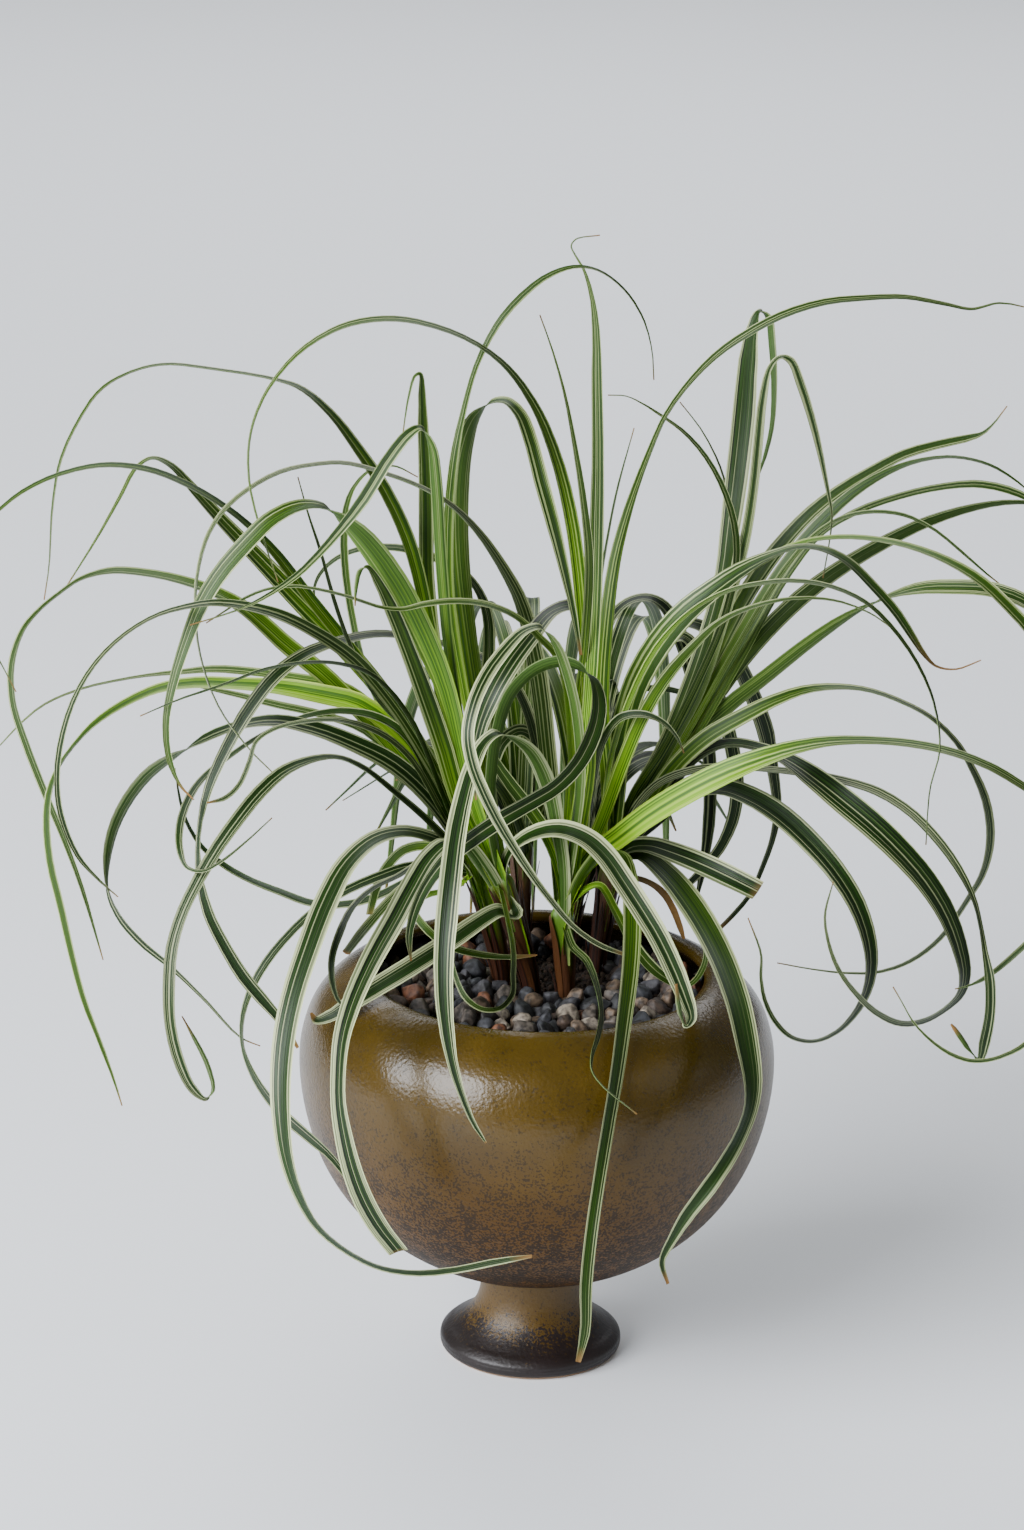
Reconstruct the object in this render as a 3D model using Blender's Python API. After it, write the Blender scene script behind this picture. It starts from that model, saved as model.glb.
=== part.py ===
"""Potted sedge: a glazed pot on a turned foot, soil, gravel and six leafy shoots.

The origin is the centre of the foot's underside, +Z is up and the front is -Y.
Sizes are in millimetres and become metres where the meshes are made.
"""
import math
import random
from dataclasses import dataclass

import bmesh
import bpy
from mathutils import Vector
from mathutils.bvhtree import BVHTree

MM = 0.001

# Pot: its turned outline from the foot's edge to the lip, as radius and height
POT_SIDES = 34
POT_OUTSIDE = (
    (30.6, 0.0), (32.0, 1.4), (32.0, 4.6), (30.6, 6.2), (25.5, 9.6), (21.0, 14.2), (18.6, 20.0),
    (18.0, 26.0), (18.8, 31.0), (29.0, 34.6), (45.0, 42.0), (57.0, 50.5), (67.0, 61.0),
    (75.5, 75.0), (81.0, 92.0), (83.0, 108.0), (82.0, 119.0), (78.0, 129.5), (71.0, 137.0),
    (63.5, 141.4), (60.0, 142.2))
POT_INSIDE = (
    (57.6, 141.0), (58.2, 138.6), (64.0, 135.4), (71.0, 129.0), (75.6, 120.0), (77.2, 108.0),
    (75.2, 94.0), (69.8, 78.0), (61.5, 65.0), (50.0, 54.4), (36.0, 47.0), (18.0, 42.0))
POT_FLOOR = 41.0

# Filling: soil with a plain hole for each shoot, and a ring of gravel on it
GAP = 0.3
SOIL_TOP = 127.0
HOLE_FLOOR = 104.0
HOLE_RADIUS = 5.4
GRAVEL_TOP = 130.6
GRAVEL_OUTER = 64.0
GRAVEL_OPENING = 27.5
GRAVEL_OPENING_CENTRE = (6.0, 27.0)
GRAVEL_SIDES = 32
PEBBLE_STEP = 11.2
PEBBLE_LOW, PEBBLE_HIGH = 4.3, 6.2
PEBBLE_SEED = 11

# Shoots: a round sheath that stands in the soil and leans out to its crown
SHEATH_FOOT = 105.0
SHEATH_RADIUS = 4.6
SHEATH_SIDES = 8

# Leaves: thickness at the keel, width limits, and the taper
LEAF_THICK = 1.1
LEAF_TIP_THICK = 0.7
LEAF_TIP_WIDTH = 1.2
LEAF_LEAST_WIDTH = 3.4
TAPER_START = 0.58
STATION_LENGTH = 66.0
STATION_TURN = math.radians(31.0)

# Clearances between leaves of two shoots, and of a leaf from the pot
PART_STEP = 1.2
PART_REACH = 50.0
PART_MARGIN = 0.9
PART_ROUNDS = 120
PART_PATIENCE = 40
POT_CLEARANCE = 2.6
ROOT_ZONE = 46.0

# Joining: edges this close count as touching, and a further trial moves the leaves
# there by no more than this
TOUCH = 0.0003
UNION_TRIALS = 12
NUDGE = 0.15
NUDGE_SEEDS = {"shoot_left": 0, "shoot_inner": 0, "shoot_front": 0, "shoot_right": 5,
               "shoot_back": 0, "shoot_rear_left": 0}

# Viewpoint that the leaves' outlines are read from: where it stands, its pitch
# and roll in degrees, and its focal length and middle in picture units
VIEW_PLACE = Vector((-10.8, -1385.2, 661.2))
VIEW_PITCH = math.radians(17.8)
VIEW_ROLL = math.radians(1.2)
VIEW_FOCAL = 4250.0
VIEW_MIDDLE = (512.0, 765.0)

SEED = 5


@dataclass(frozen=True)
class Shoot:
    """One leafy shoot: where it stands in plan, where its crown is seen, and how thick."""
    name: str
    plan: tuple
    crown: tuple
    crown_depth: float
    crown_radius: float = 4.2


@dataclass(frozen=True)
class Leaf:
    """One leaf, read by eye from root to tip.

    Each point of the path is across, down and seen width in picture units. A
    width below zero shows the underside. The depths are distances behind the
    pot's axis, in mm, at even steps along the path after the crown. A blunt
    leaf was cut across.
    """
    shoot: str
    depths: tuple
    path: tuple
    blunt: bool = False


SHOOTS = (
    Shoot("shoot_left", (-13.0, 24.0), (478, 868), 20.0, 5.8),
    Shoot("shoot_inner", (-2.5, 11.5), (502, 884), 7.0),
    Shoot("shoot_front", (9.5, 9.5), (562, 916), 7.0),
    Shoot("shoot_right", (21.0, 38.0), (612, 866), 42.0, 6.6),
    Shoot("shoot_back", (9.5, 47.0), (583, 856), 53.0),
    Shoot("shoot_rear_left", (-6.5, 43.0), (522, 850), 54.0),
)

LEFT_LEAVES = (
    Leaf("shoot_left", (28, 12, 22, 30), (
        (470, 825, 9), (447, 730, 12), (428, 620, 13), (410, 545, 14), (385, 490, 13), (360, 452, 11),
        (330, 413, 8), (300, 388, 5), (270, 378, 2), (215, 369, 2), (165, 364, 2), (130, 372, 2),
        (100, 390, 3), (76, 425, 3), (60, 462, 3), (52, 510, 2), (49, 565, 1), (44, 600, 1))),
    Leaf("shoot_left", (30, 36, 34, 30), (
        (455, 820, 12), (420, 755, 16), (380, 690, 18), (335, 638, 20), (300, 602, 20), (262, 562, 17),
        (228, 527, 14), (195, 491, 10), (170, 465, 6), (152, 458, 3), (136, 468, 4), (120, 497, 4),
        (98, 536, 2), (64, 590, 1))),
    Leaf("shoot_left", (24, 2, -8, 4, 26), (
        (450, 815, 10), (410, 735, 12), (355, 655, 12), (305, 592, 12), (276, 554, 10), (250, 527, 6),
        (225, 507, 6), (190, 486, 6), (150, 470, 6), (105, 465, 5), (60, 474, 4), (25, 490, 4),
        (0, 509, 3), (-24, 535, 3), (-36, 570, 3), (-32, 612, 2), (-12, 640, 2), (16, 692, 1))),
    Leaf("shoot_inner", (0, -14, -26, -40), (
        (470, 790, -12), (445, 690, -20), (420, 630, -26), (390, 575, -26), (355, 530, -20),
        (325, 507, 5), (300, 506, 12), (272, 519, 16), (245, 545, 17), (220, 574, 16), (200, 607, 15),
        (186, 642, 12), (174, 680, 9), (166, 722, 7), (169, 758, 6), (180, 785, 3), (194, 800, 1))),
    Leaf("shoot_inner", (6, -10, -26, -44), (
        (470, 780, -9), (450, 660, -11), (441, 560, -12), (436, 480, -12), (431, 443, -8),
        (421, 428, 5), (409, 434, 11), (388, 460, 12), (364, 499, 12), (340, 530, 9), (318, 555, 7),
        (296, 576, 6), (265, 597, 4), (235, 611, 2), (190, 625, 1))),
    Leaf("shoot_inner", (26, 24, 4), (
        (474, 800, 10), (440, 680, 14), (427, 580, 15), (426, 520, 15), (425, 470, 13), (423, 430, 11),
        (422, 398, 8), (420, 374, 4), (415, 376, 3), (408, 400, 2), (402, 440, 1))),
    Leaf("shoot_inner", (22, 14, 0, 6), (
        (489, 800, -14), (480, 720, -18), (468, 640, -20), (459, 560, -22), (458, 500, -22),
        (463, 450, -20), (475, 416, -12), (490, 402, 4), (506, 401, 8), (520, 414, 12), (531, 442, 14),
        (541, 480, 15), (552, 520, 14), (562, 560, 11), (572, 605, 7), (581, 655, 3))),
    Leaf("shoot_inner", (14, 10, 22, 34), (
        (484, 790, 7), (464, 690, 9), (450, 600, 10), (449, 520, 10), (455, 455, 9), (464, 410, 5),
        (475, 370, 5), (488, 341, 6), (503, 317, 7), (522, 296, 7), (546, 277, 6), (573, 267, 4),
        (598, 270, 2), (624, 289, 2), (643, 318, 2), (652, 350, 1), (654, 380, 1))),
    Leaf("shoot_front", (12, 6, -6, -16, -22), (
        (558, 850, 14), (548, 760, 18), (537, 670, 20), (521, 604, 14), (500, 564, 10), (476, 530, 7),
        (452, 506, 4), (425, 489, 3), (390, 475, 3), (345, 463, 3), (310, 465, 3), (280, 472, 4),
        (250, 488, 4), (226, 508, 4), (209, 533, 4), (199, 565, 3), (195, 605, 2), (200, 655, 1),
        (218, 706, 1), (248, 748, 1), (278, 778, 1))),
    Leaf("shoot_inner", (0, -8, -18), (
        (462, 810, 17), (442, 745, 20), (421, 685, 18), (404, 640, 16), (390, 606, 14), (378, 582, 9),
        (367, 567, 4), (360, 571, -5), (356, 588, -4), (355, 606, -1))),
    Leaf("shoot_left", (38, 36, 30), (
        (445, 800, 6), (398, 735, 8), (366, 672, 7), (353, 620, 7), (346, 575, 8), (344, 535, 8),
        (347, 504, 6), (356, 484, 4), (371, 470, 3), (394, 466, 2), (418, 477, 1))),
    Leaf("shoot_inner", (24, 42, 48, 58), (
        (492, 800, 10), (484, 710, 13), (489, 650, 13), (487, 614, 11), (476, 587, 8), (458, 569, 8),
        (430, 556, 9), (400, 548, 8), (365, 548, 6), (337, 558, 5), (320, 574, 4), (314, 590, 3),
        (316, 603, 1))),
    Leaf("shoot_front", (28, 46, 4, -12, -34, -40), (
        (555, 850, 12), (538, 750, 12), (520, 694, 10), (496, 665, 8), (460, 649, 7), (425, 640, 6),
        (380, 634, 8), (340, 641, 9), (305, 654, 12), (276, 675, 14), (249, 709, 14), (228, 745, 12),
        (209, 787, 10), (199, 832, 3), (199, 872, 7), (208, 912, 11), (224, 945, 12), (243, 976, 13),
        (262, 999, 12), (280, 1020, 9), (298, 1048, 3))),
    Leaf("shoot_left", (0, -32, -30, -14, -4), (
        (455, 812, 13), (420, 745, 14), (390, 700, 14), (355, 660, 14), (318, 634, 12), (282, 616, 11),
        (250, 607, 9), (215, 603, 7), (185, 607, 5), (155, 616, 3), (125, 634, 3), (98, 660, 4),
        (77, 693, 5), (63, 733, 6), (57, 775, 6), (61, 815, 6), (78, 856, 5), (98, 879, 3),
        (118, 897, 1))),
    Leaf("shoot_left", (24, 18, 26, 34, 44), (
        (462, 835, 14), (420, 780, 16), (372, 724, 17), (325, 676, 18), (285, 644, 18), (248, 611, 15),
        (215, 592, 11), (180, 580, 9), (145, 573, 8), (110, 571, 7), (80, 579, 3), (58, 594, 2),
        (40, 609, 3), (23, 630, 5), (12, 664, 7), (13, 702, 7), (26, 744, 8), (43, 788, 8),
        (62, 834, 6), (80, 882, 5), (94, 928, 3), (103, 960, 1))),
    Leaf("shoot_left", (38, 46, 44), (
        (455, 830, 8), (405, 745, 9), (350, 690, 10), (300, 678, 9), (255, 672, 9), (215, 669, 8),
        (182, 672, 6), (150, 675, 3), (118, 680, 2), (80, 689, 2), (40, 707, 2), (0, 745, 1),
        (-18, 768, 1))),
    Leaf("shoot_left", (24, 28, 20, 10, 4), (
        (450, 820, 14), (410, 745, 18), (362, 705, 20), (320, 694, 20), (280, 687, 16), (235, 684, 12),
        (195, 683, 12), (158, 689, 10), (122, 705, 8), (94, 724, 6), (73, 746, 2), (58, 768, 3),
        (49, 795, 7), (47, 826, 8), (51, 865, 8), (61, 906, 8), (72, 955, 7), (84, 1000, 6),
        (100, 1042, 5), (114, 1080, 3), (122, 1106, 1))),
    Leaf("shoot_left", (42, 46, 54), (
        (455, 838, 8), (410, 775, 8), (365, 731, 8), (320, 714, 8), (275, 704, 8), (235, 694, 6),
        (205, 688, 3), (188, 685, 1))),
    Leaf("shoot_left", (-6, -40, -34), (
        (445, 800, 5), (410, 718, 5), (372, 675, 4), (335, 663, 3), (300, 663, 3), (262, 670, 3),
        (222, 685, 2), (180, 699, 2), (140, 716, 1))),
    Leaf("shoot_left", (6, 4, 14, 10, -12), (
        (464, 848, 15), (435, 803, 19), (395, 765, 20), (350, 742, 17), (312, 728, 15), (272, 721, 12),
        (235, 727, 8), (202, 740, 11), (172, 757, -11), (147, 776, -12), (125, 805, -12),
        (112, 835, -11), (107, 866, -8), (108, 892, 3), (120, 918, 6), (143, 944, 7), (170, 966, 5),
        (205, 1000, 3), (240, 1037, 2), (260, 1046, 1))),
    Leaf("shoot_left", (-12, -46, -72, -66), (
        (452, 846, 8), (425, 818, 7), (392, 790, 6), (362, 767, 5), (336, 757, 4), (310, 760, 8),
        (284, 771, 12), (260, 792, 14), (238, 819, 14), (216, 850, 13), (197, 883, 12), (182, 914, 11),
        (172, 948, 12), (169, 985, 12), (170, 1022, 11), (178, 1058, 11), (192, 1088, 9),
        (206, 1099, 4), (213, 1090, -4), (207, 1064, -5), (194, 1038, -4), (182, 1016, -1))),
    Leaf("shoot_left", (-20, -58, -84, -92, -94), (
        (458, 852, 10), (432, 838, 12), (402, 832, 12), (373, 840, 16), (346, 865, 20), (325, 905, 24),
        (308, 950, 23), (294, 993, 22), (285, 1035, 22), (281, 1080, 20), (282, 1120, 18),
        (287, 1158, 14), (298, 1193, 10), (316, 1225, 7), (343, 1249, 5), (378, 1267, 5),
        (415, 1273, 6), (455, 1270, 7), (495, 1262, 7), (532, 1256, 3))),
    Leaf("shoot_inner", (-14, -54, -84, -96, -92), (
        (484, 868, -16), (463, 843, -12), (446, 843, 14), (429, 858, 20), (411, 888, 22),
        (394, 920, 23), (377, 950, 22), (362, 980, 20), (350, 1010, 19), (342, 1040, 16),
        (339, 1072, 14), (339, 1103, 14), (344, 1135, 17), (352, 1168, 19), (364, 1200, 20),
        (380, 1228, 19), (399, 1252, 17)), blunt=True),
    Leaf("shoot_front", (-12, -46, -82, -98, -96), (
        (563, 870, -12), (557, 830, -15), (547, 785, -18), (531, 752, -14), (514, 738, -8),
        (498, 733, 8), (484, 743, 12), (472, 768, 16), (463, 800, 18), (456, 835, 20), (451, 875, 21),
        (447, 915, 21), (444, 955, 19), (444, 995, 17), (447, 1030, 14), (453, 1065, 10),
        (462, 1095, 7), (473, 1122, 5), (486, 1143, 2))),
    Leaf("shoot_inner", (-12, -26, -34, -36), (
        (514, 914, 10), (498, 911, 14), (478, 922, 18), (455, 938, 19), (430, 954, 20), (403, 971, 20),
        (375, 988, 19), (350, 1004, 16), (330, 1016, 12), (316, 1020, 8), (311, 1013, 3))),
    Leaf("shoot_left", (14, -8, -36, -44), (
        (452, 862, 5), (425, 861, 5), (398, 876, 5), (372, 889, 5), (352, 908, 6), (340, 932, 8),
        (332, 958, 7), (332, 980, 6), (337, 998, 4), (344, 1008, 2))),
    Leaf("shoot_left", (10, -2, -18, -40, -52), (
        (450, 872, 10), (415, 866, 10), (375, 878, 10), (340, 894, 9), (312, 913, 8), (286, 938, 8),
        (264, 966, 9), (249, 995, 7), (242, 1022, 4), (243, 1048, 3), (254, 1076, 7), (270, 1100, 9),
        (290, 1121, 11), (311, 1139, 10), (331, 1157, 7), (350, 1182, 5), (366, 1210, 2))),
    Leaf("shoot_left", (12, 10, -6, -50, -56), (
        (440, 800, 7), (408, 738, 8), (380, 718, 8), (345, 711, 7), (310, 715, 5), (280, 726, 4),
        (255, 739, 4), (230, 756, 5), (206, 775, 6), (190, 796, 8), (180, 825, 8), (180, 850, 7),
        (187, 867, 4), (202, 871, 3), (222, 861, 3), (248, 840, 2), (272, 818, 1))),
    Leaf("shoot_left", (6, -22, -30, -44), (
        (444, 815, 6), (412, 760, 6), (378, 732, 6), (338, 720, 5), (300, 722, 4), (272, 730, 4),
        (256, 742, 4), (249, 763, 5), (239, 785, 5), (225, 798, 5), (207, 803, 2))),
    Leaf("shoot_rear_left", (66, 88, 104, 100), (
        (500, 850, 8), (460, 850, 9), (410, 880, 9), (360, 902, 8), (315, 904, 8), (280, 892, 8),
        (250, 880, 7), (225, 866, 7), (203, 848, 5), (188, 825, 4), (180, 800, 3), (175, 768, 1))),
    Leaf("shoot_inner", (16, 12, 2), (
        (470, 790, 4), (425, 745, 4), (378, 700, 4), (350, 645, 4), (334, 600, 4), (321, 553, 3),
        (307, 510, 2), (298, 477, 1))),
    Leaf("shoot_left", (26, 22, 8), (
        (462, 862, 9), (430, 846, 10), (404, 850, 10), (386, 868, 10), (376, 890, 9),
        (370, 914, 7)), blunt=True),
    Leaf("shoot_rear_left", (56, 50, 36), (
        (490, 872, 9), (448, 868, 10), (412, 882, 10), (388, 902, 10), (367, 926, 10), (346, 953, 8))),
)

MIDDLE_LEAVES = (
    Leaf("shoot_front", (12, 22, 34), (
        (571, 850, 8), (583, 770, 11), (590, 690, 13), (595, 600, 14), (597, 520, 14), (598, 450, 12),
        (597, 385, 11), (596, 330, 8), (592, 297, 5), (584, 270, 3), (575, 255, 1), (571, 246, 1),
        (576, 239, 1), (600, 235, 1))),
    Leaf("shoot_front", (4, 2, -6), (
        (566, 840, 8), (574, 740, 9), (585, 640, 9), (589, 560, 9), (583, 498, 7), (575, 447, 5),
        (565, 395, 3), (553, 352, 2), (540, 315, 1))),
    Leaf("shoot_front", (8, 12, 8, -6, -14), (
        (577, 850, 10), (589, 770, 12), (588, 700, 13), (584, 640, 13), (579, 575, 14), (571, 518, 14),
        (557, 461, 12), (536, 409, 9), (508, 369, 6), (478, 345, 4), (440, 328, 5), (395, 319, 6),
        (350, 324, 6), (314, 341, 5), (287, 364, 4), (263, 398, 3), (250, 436, 2), (249, 480, 2),
        (260, 528, 2), (278, 582, 1))),
    Leaf("shoot_right", (30, 38, 44, 56), (
        (608, 800, 12), (602, 700, 15), (607, 620, 14), (615, 562, 12), (625, 522, 10), (637, 485, 7),
        (650, 451, 5), (666, 415, 4), (690, 382, 5), (718, 354, 7), (750, 332, 8), (785, 314, 8),
        (825, 302, 7), (865, 298, 6), (905, 297, 5), (945, 304, 4), (972, 309, 3), (1000, 303, 2),
        (1046, 312, 1))),
    Leaf("shoot_right", (46, 56, 64), (
        (606, 790, 4), (594, 690, 4), (598, 600, 3), (607, 540, 2), (617, 490, 2), (634, 428, 1))),
    Leaf("shoot_right", (52, 66, 70, 56), (
        (630, 810, 14), (662, 755, 18), (690, 690, 20), (710, 630, 18), (724, 575, 16), (731, 525, 20),
        (738, 470, 23), (744, 415, 23), (748, 365, 20), (753, 328, 13), (760, 311, 3), (768, 317, -7),
        (772, 345, -8), (774, 385, -6), (772, 425, -5), (765, 456, -4), (757, 480, -1))),
    Leaf("shoot_right", (48, 50, 38, 24), (
        (632, 815, 9), (668, 750, 10), (700, 690, 11), (727, 608, 11), (744, 545, 11), (753, 492, 10),
        (758, 445, 10), (763, 398, 9), (771, 366, 5), (781, 357, 4), (791, 361, 8), (801, 385, 9),
        (812, 420, 8), (821, 457, 6), (828, 492, 4), (832, 515, 2), (829, 545, 1), (823, 578, 1))),
    Leaf("shoot_right", (44, 56, 52), (
        (628, 805, 7), (662, 750, 8), (698, 680, 8), (724, 618, 8), (736, 565, 7), (735, 528, 7),
        (724, 490, 6), (706, 457, 5), (684, 432, 4), (662, 416, 3), (645, 405, 2), (626, 396, 1),
        (608, 395, 1))),
    Leaf("shoot_right", (54, 74, 82), (
        (634, 800, 4), (672, 730, 4), (706, 650, 3), (724, 580, 2), (731, 520, 2), (722, 472, 2),
        (703, 432, 1), (680, 402, 1))),
    Leaf("shoot_right", (58, 64, 74, 78), (
        (650, 800, 14), (690, 715, 17), (722, 640, 18), (754, 582, 18), (782, 544, 16), (812, 512, 14),
        (842, 489, 12), (872, 471, 11), (905, 454, 10), (940, 444, 9), (968, 438, 8), (983, 433, 4),
        (995, 422, 2), (1007, 406, 1))),
    Leaf("shoot_right", (46, 48, 50, 42), (
        (648, 805, 12), (688, 735, 15), (728, 660, 16), (765, 598, 16), (800, 547, 14), (830, 513, 12),
        (860, 488, 10), (892, 470, 7), (922, 460, 4), (955, 457, 3), (990, 465, 3), (1018, 482, 2),
        (1042, 504, 1))),
    Leaf("shoot_right", (36, 40, 48, 46), (
        (644, 812, 7), (690, 745, 8), (740, 660, 8), (786, 578, 7), (822, 533, 6), (858, 511, 7),
        (900, 496, 7), (940, 487, 7), (978, 484, 8), (1012, 491, 8), (1040, 505, 5), (1062, 522, 3),
        (1078, 542, 1))),
    Leaf("shoot_right", (40, 34, 24, 10), (
        (640, 808, 5), (684, 740, 5), (735, 650, 5), (790, 562, 5), (826, 526, 4), (860, 513, 4),
        (900, 514, 4), (932, 528, 3), (962, 552, 3), (987, 574, 2), (1005, 588, 1))),
    Leaf("shoot_right", (56, 74, 86, 92), (
        (655, 800, 14), (700, 720, 17), (748, 652, 18), (795, 603, 18), (838, 570, 16), (880, 545, 14),
        (920, 525, 12), (960, 511, 9), (1000, 503, 6), (1035, 503, 4), (1070, 509, 3), (1096, 520, 1))),
    Leaf("shoot_right", (30, 22, 4, -20, -52, -62), (
        (650, 805, -12), (690, 742, -15), (728, 706, -16), (768, 675, -14), (806, 645, -13),
        (840, 621, -10), (866, 606, -4), (892, 595, 6), (922, 588, 13), (955, 587, 15), (988, 589, 15),
        (1020, 599, 14), (1052, 622, 11), (1078, 668, 8), (1092, 735, 6), (1090, 805, 6),
        (1074, 868, 6), (1046, 922, 6), (1015, 954, 6), (988, 976, 5), (968, 986, 2), (955, 989, 1))),
    Leaf("shoot_right", (22, 16, 10, -8, -14), (
        (617, 800, 17), (622, 735, 22), (636, 685, 25), (658, 645, 26), (684, 614, 24), (712, 591, 20),
        (742, 570, 15), (772, 555, 7), (798, 547, 4), (822, 549, 6), (847, 561, 8), (872, 585, 9),
        (896, 612, 9), (912, 636, 8), (923, 653, 5), (936, 666, 2), (956, 669, 1), (981, 660, 1))),
    Leaf("shoot_right", (14, 4, -14, -34, -72, -78), (
        (614, 795, 9), (626, 730, 11), (648, 676, 12), (676, 632, 13), (708, 598, 13), (740, 574, 11),
        (772, 556, 7), (803, 542, 4), (838, 537, 4), (875, 539, 5), (912, 547, 6), (948, 561, 8),
        (980, 580, 10), (1008, 606, 11), (1035, 637, 11), (1062, 690, 9), (1080, 760, 7),
        (1086, 840, 6), (1080, 920, 6), (1062, 990, 5), (1030, 1040, 5), (1000, 1057, 4),
        (975, 1061, 4), (955, 1056, 4), (934, 1043, 3), (914, 1023, 2), (903, 1004, 1),
        (893, 987, 1))),
    Leaf("shoot_right", (0, -22, -34, -42, -40), (
        (606, 790, 5), (622, 720, 6), (655, 650, 6), (690, 612, 4), (725, 592, 4), (762, 583, 4),
        (800, 581, 4), (836, 588, 4), (868, 604, 4), (896, 632, 4), (920, 668, 3), (935, 706, 2),
        (940, 750, 1), (930, 790, 1), (926, 845, 1))),
    Leaf("shoot_front", (0, -10, -14, -22), (
        (586, 860, 12), (604, 815, 13), (622, 765, 14), (642, 718, 14), (664, 681, 13), (690, 650, 10),
        (720, 622, 6), (755, 606, 4), (798, 598, 3), (838, 601, 2), (872, 614, 1), (898, 633, 1))),
    Leaf("shoot_right", (22, 18, 6, 4, 2, 8), (
        (640, 820, 14), (672, 770, 16), (706, 738, 17), (742, 717, 16), (774, 701, 13), (806, 690, 9),
        (838, 687, 6), (868, 690, 4), (900, 701, 4), (930, 717, 4), (955, 741, 5), (973, 771, 7),
        (986, 803, 9), (990, 838, 9), (983, 872, 7), (965, 903, 5), (940, 938, 5), (910, 961, 4),
        (878, 972, 3), (845, 973, 2), (810, 969, 1), (777, 963, 1))),
    Leaf("shoot_front", (-6, -20, -38, -30), (
        (572, 890, 14), (590, 860, 18), (618, 838, 22), (650, 814, 24), (688, 791, 25), (724, 773, 24),
        (760, 759, 19), (796, 748, 14), (832, 742, 10), (870, 741, 7), (910, 744, 8), (950, 752, 8),
        (988, 766, 8), (1018, 783, 8), (1046, 803, 6), (1070, 826, 3), (1086, 848, 1))),
    Leaf("shoot_right", (18, 6, -18, -48, -70, -66), (
        (630, 818, 8), (658, 784, 8), (694, 770, 8), (730, 767, 7), (764, 769, 6), (800, 773, 7),
        (840, 780, 8), (878, 792, 9), (910, 812, 9), (936, 838, 9), (958, 868, 8), (974, 900, 5),
        (981, 928, 3), (985, 952, 6), (990, 982, 10), (990, 1012, 10), (985, 1040, 11),
        (979, 1060, 6), (968, 1048, -6), (957, 1032, -5), (951, 1024, -2))),
    Leaf("shoot_right", (26, -8, -26, -44, -62), (
        (642, 826, 16), (668, 786, 20), (696, 757, 14), (728, 744, 9), (760, 748, 9), (788, 760, 14),
        (814, 778, 22), (843, 801, 26), (873, 826, 26), (902, 854, 24), (926, 882, 22), (946, 914, 19),
        (959, 948, 16), (964, 975, 12), (960, 993, 8), (946, 1008, 4), (925, 1020, 5), (902, 1023, 6),
        (878, 1013, 6), (856, 993, 5), (838, 968, 4), (828, 940, 3), (825, 915, 2), (833, 882, 1))),
    Leaf("shoot_back", (26, -14, -32, -36), (
        (628, 842, 16), (656, 818, 18), (688, 792, 17), (722, 787, 17), (752, 797, 20), (782, 816, 22),
        (811, 843, 22), (836, 872, 20), (856, 904, 18), (868, 938, 15), (871, 966, 12), (866, 992, 9),
        (854, 1014, 6), (836, 1032, 4), (814, 1041, 3), (792, 1037, 4), (776, 1022, 5),
        (765, 1000, 4), (761, 977, 3), (761, 954, 2), (748, 918, 1))),
    Leaf("shoot_right", (14, -4, -14), (
        (625, 850, 12), (648, 845, 16), (672, 852, 20), (700, 863, 22), (728, 876, 22),
        (758, 891, 20)), blunt=True),
    Leaf("shoot_right", (4, -44, -76, -96, -92), (
        (622, 858, 10), (644, 856, 14), (667, 874, 22), (689, 901, 26), (709, 933, 26), (726, 969, 25),
        (739, 1008, 24), (747, 1047, 22), (752, 1082, 18), (750, 1108, 13), (741, 1134, 12),
        (727, 1160, 14), (708, 1188, 15), (688, 1214, 13), (672, 1240, 9), (662, 1262, 6),
        (668, 1284, 3))),
    Leaf("shoot_front", (-20, -56, -88, -112, -120), (
        (575, 890, -9), (592, 862, -12), (610, 847, -8), (623, 856, 12), (630, 884, 17), (632, 922, 18),
        (630, 968, 17), (624, 1018, 15), (617, 1070, 13), (608, 1125, 12), (599, 1180, 12),
        (591, 1235, 12), (586, 1285, 12), (585, 1330, 10), (578, 1362, 5))),
    Leaf("shoot_inner", (-16, -40, -54, -64), (
        (504, 868, 8), (513, 847, 10), (534, 833, 15), (560, 829, 18), (586, 838, 20), (606, 856, 22),
        (624, 882, 22), (641, 908, 22), (658, 936, 21), (673, 967, 20), (685, 997, 17), (691, 1018, 11),
        (686, 1026, 4), (680, 1012, -6), (676, 984, -3))),
    Leaf("shoot_inner", (-14, -20, -44, -62, -46), (
        (494, 840, -9), (491, 785, -11), (497, 735, -12), (510, 695, -12), (533, 671, -12),
        (558, 662, -12), (580, 667, -9), (594, 681, 9), (599, 704, 15), (594, 732, 17), (578, 764, 16),
        (556, 787, 15), (528, 804, 15), (500, 820, 16), (472, 839, 16), (448, 858, 15), (429, 881, 12),
        (416, 907, 10), (409, 936, 7), (411, 961, 2))),
    Leaf("shoot_front", (-14, -36, -70, -66, -38), (
        (572, 850, -9), (580, 780, -10), (577, 720, -10), (567, 674, -10), (554, 641, -8),
        (540, 627, 5), (524, 631, 9), (505, 650, 13), (487, 675, 14), (474, 704, 13), (468, 735, 12),
        (473, 765, 12), (484, 793, 12), (499, 823, 11), (516, 851, 9), (534, 878, 7), (553, 903, 6),
        (574, 927, 5), (600, 945, 5), (632, 957, 3))),
    Leaf("shoot_back", (38, 30, 4, -4), (
        (588, 800, 14), (597, 700, 18), (591, 635, 16), (574, 607, 9), (552, 612, 12), (531, 636, 18),
        (510, 664, 20), (492, 696, 19), (479, 730, 15), (474, 768, 8), (476, 800, 2))),
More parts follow.
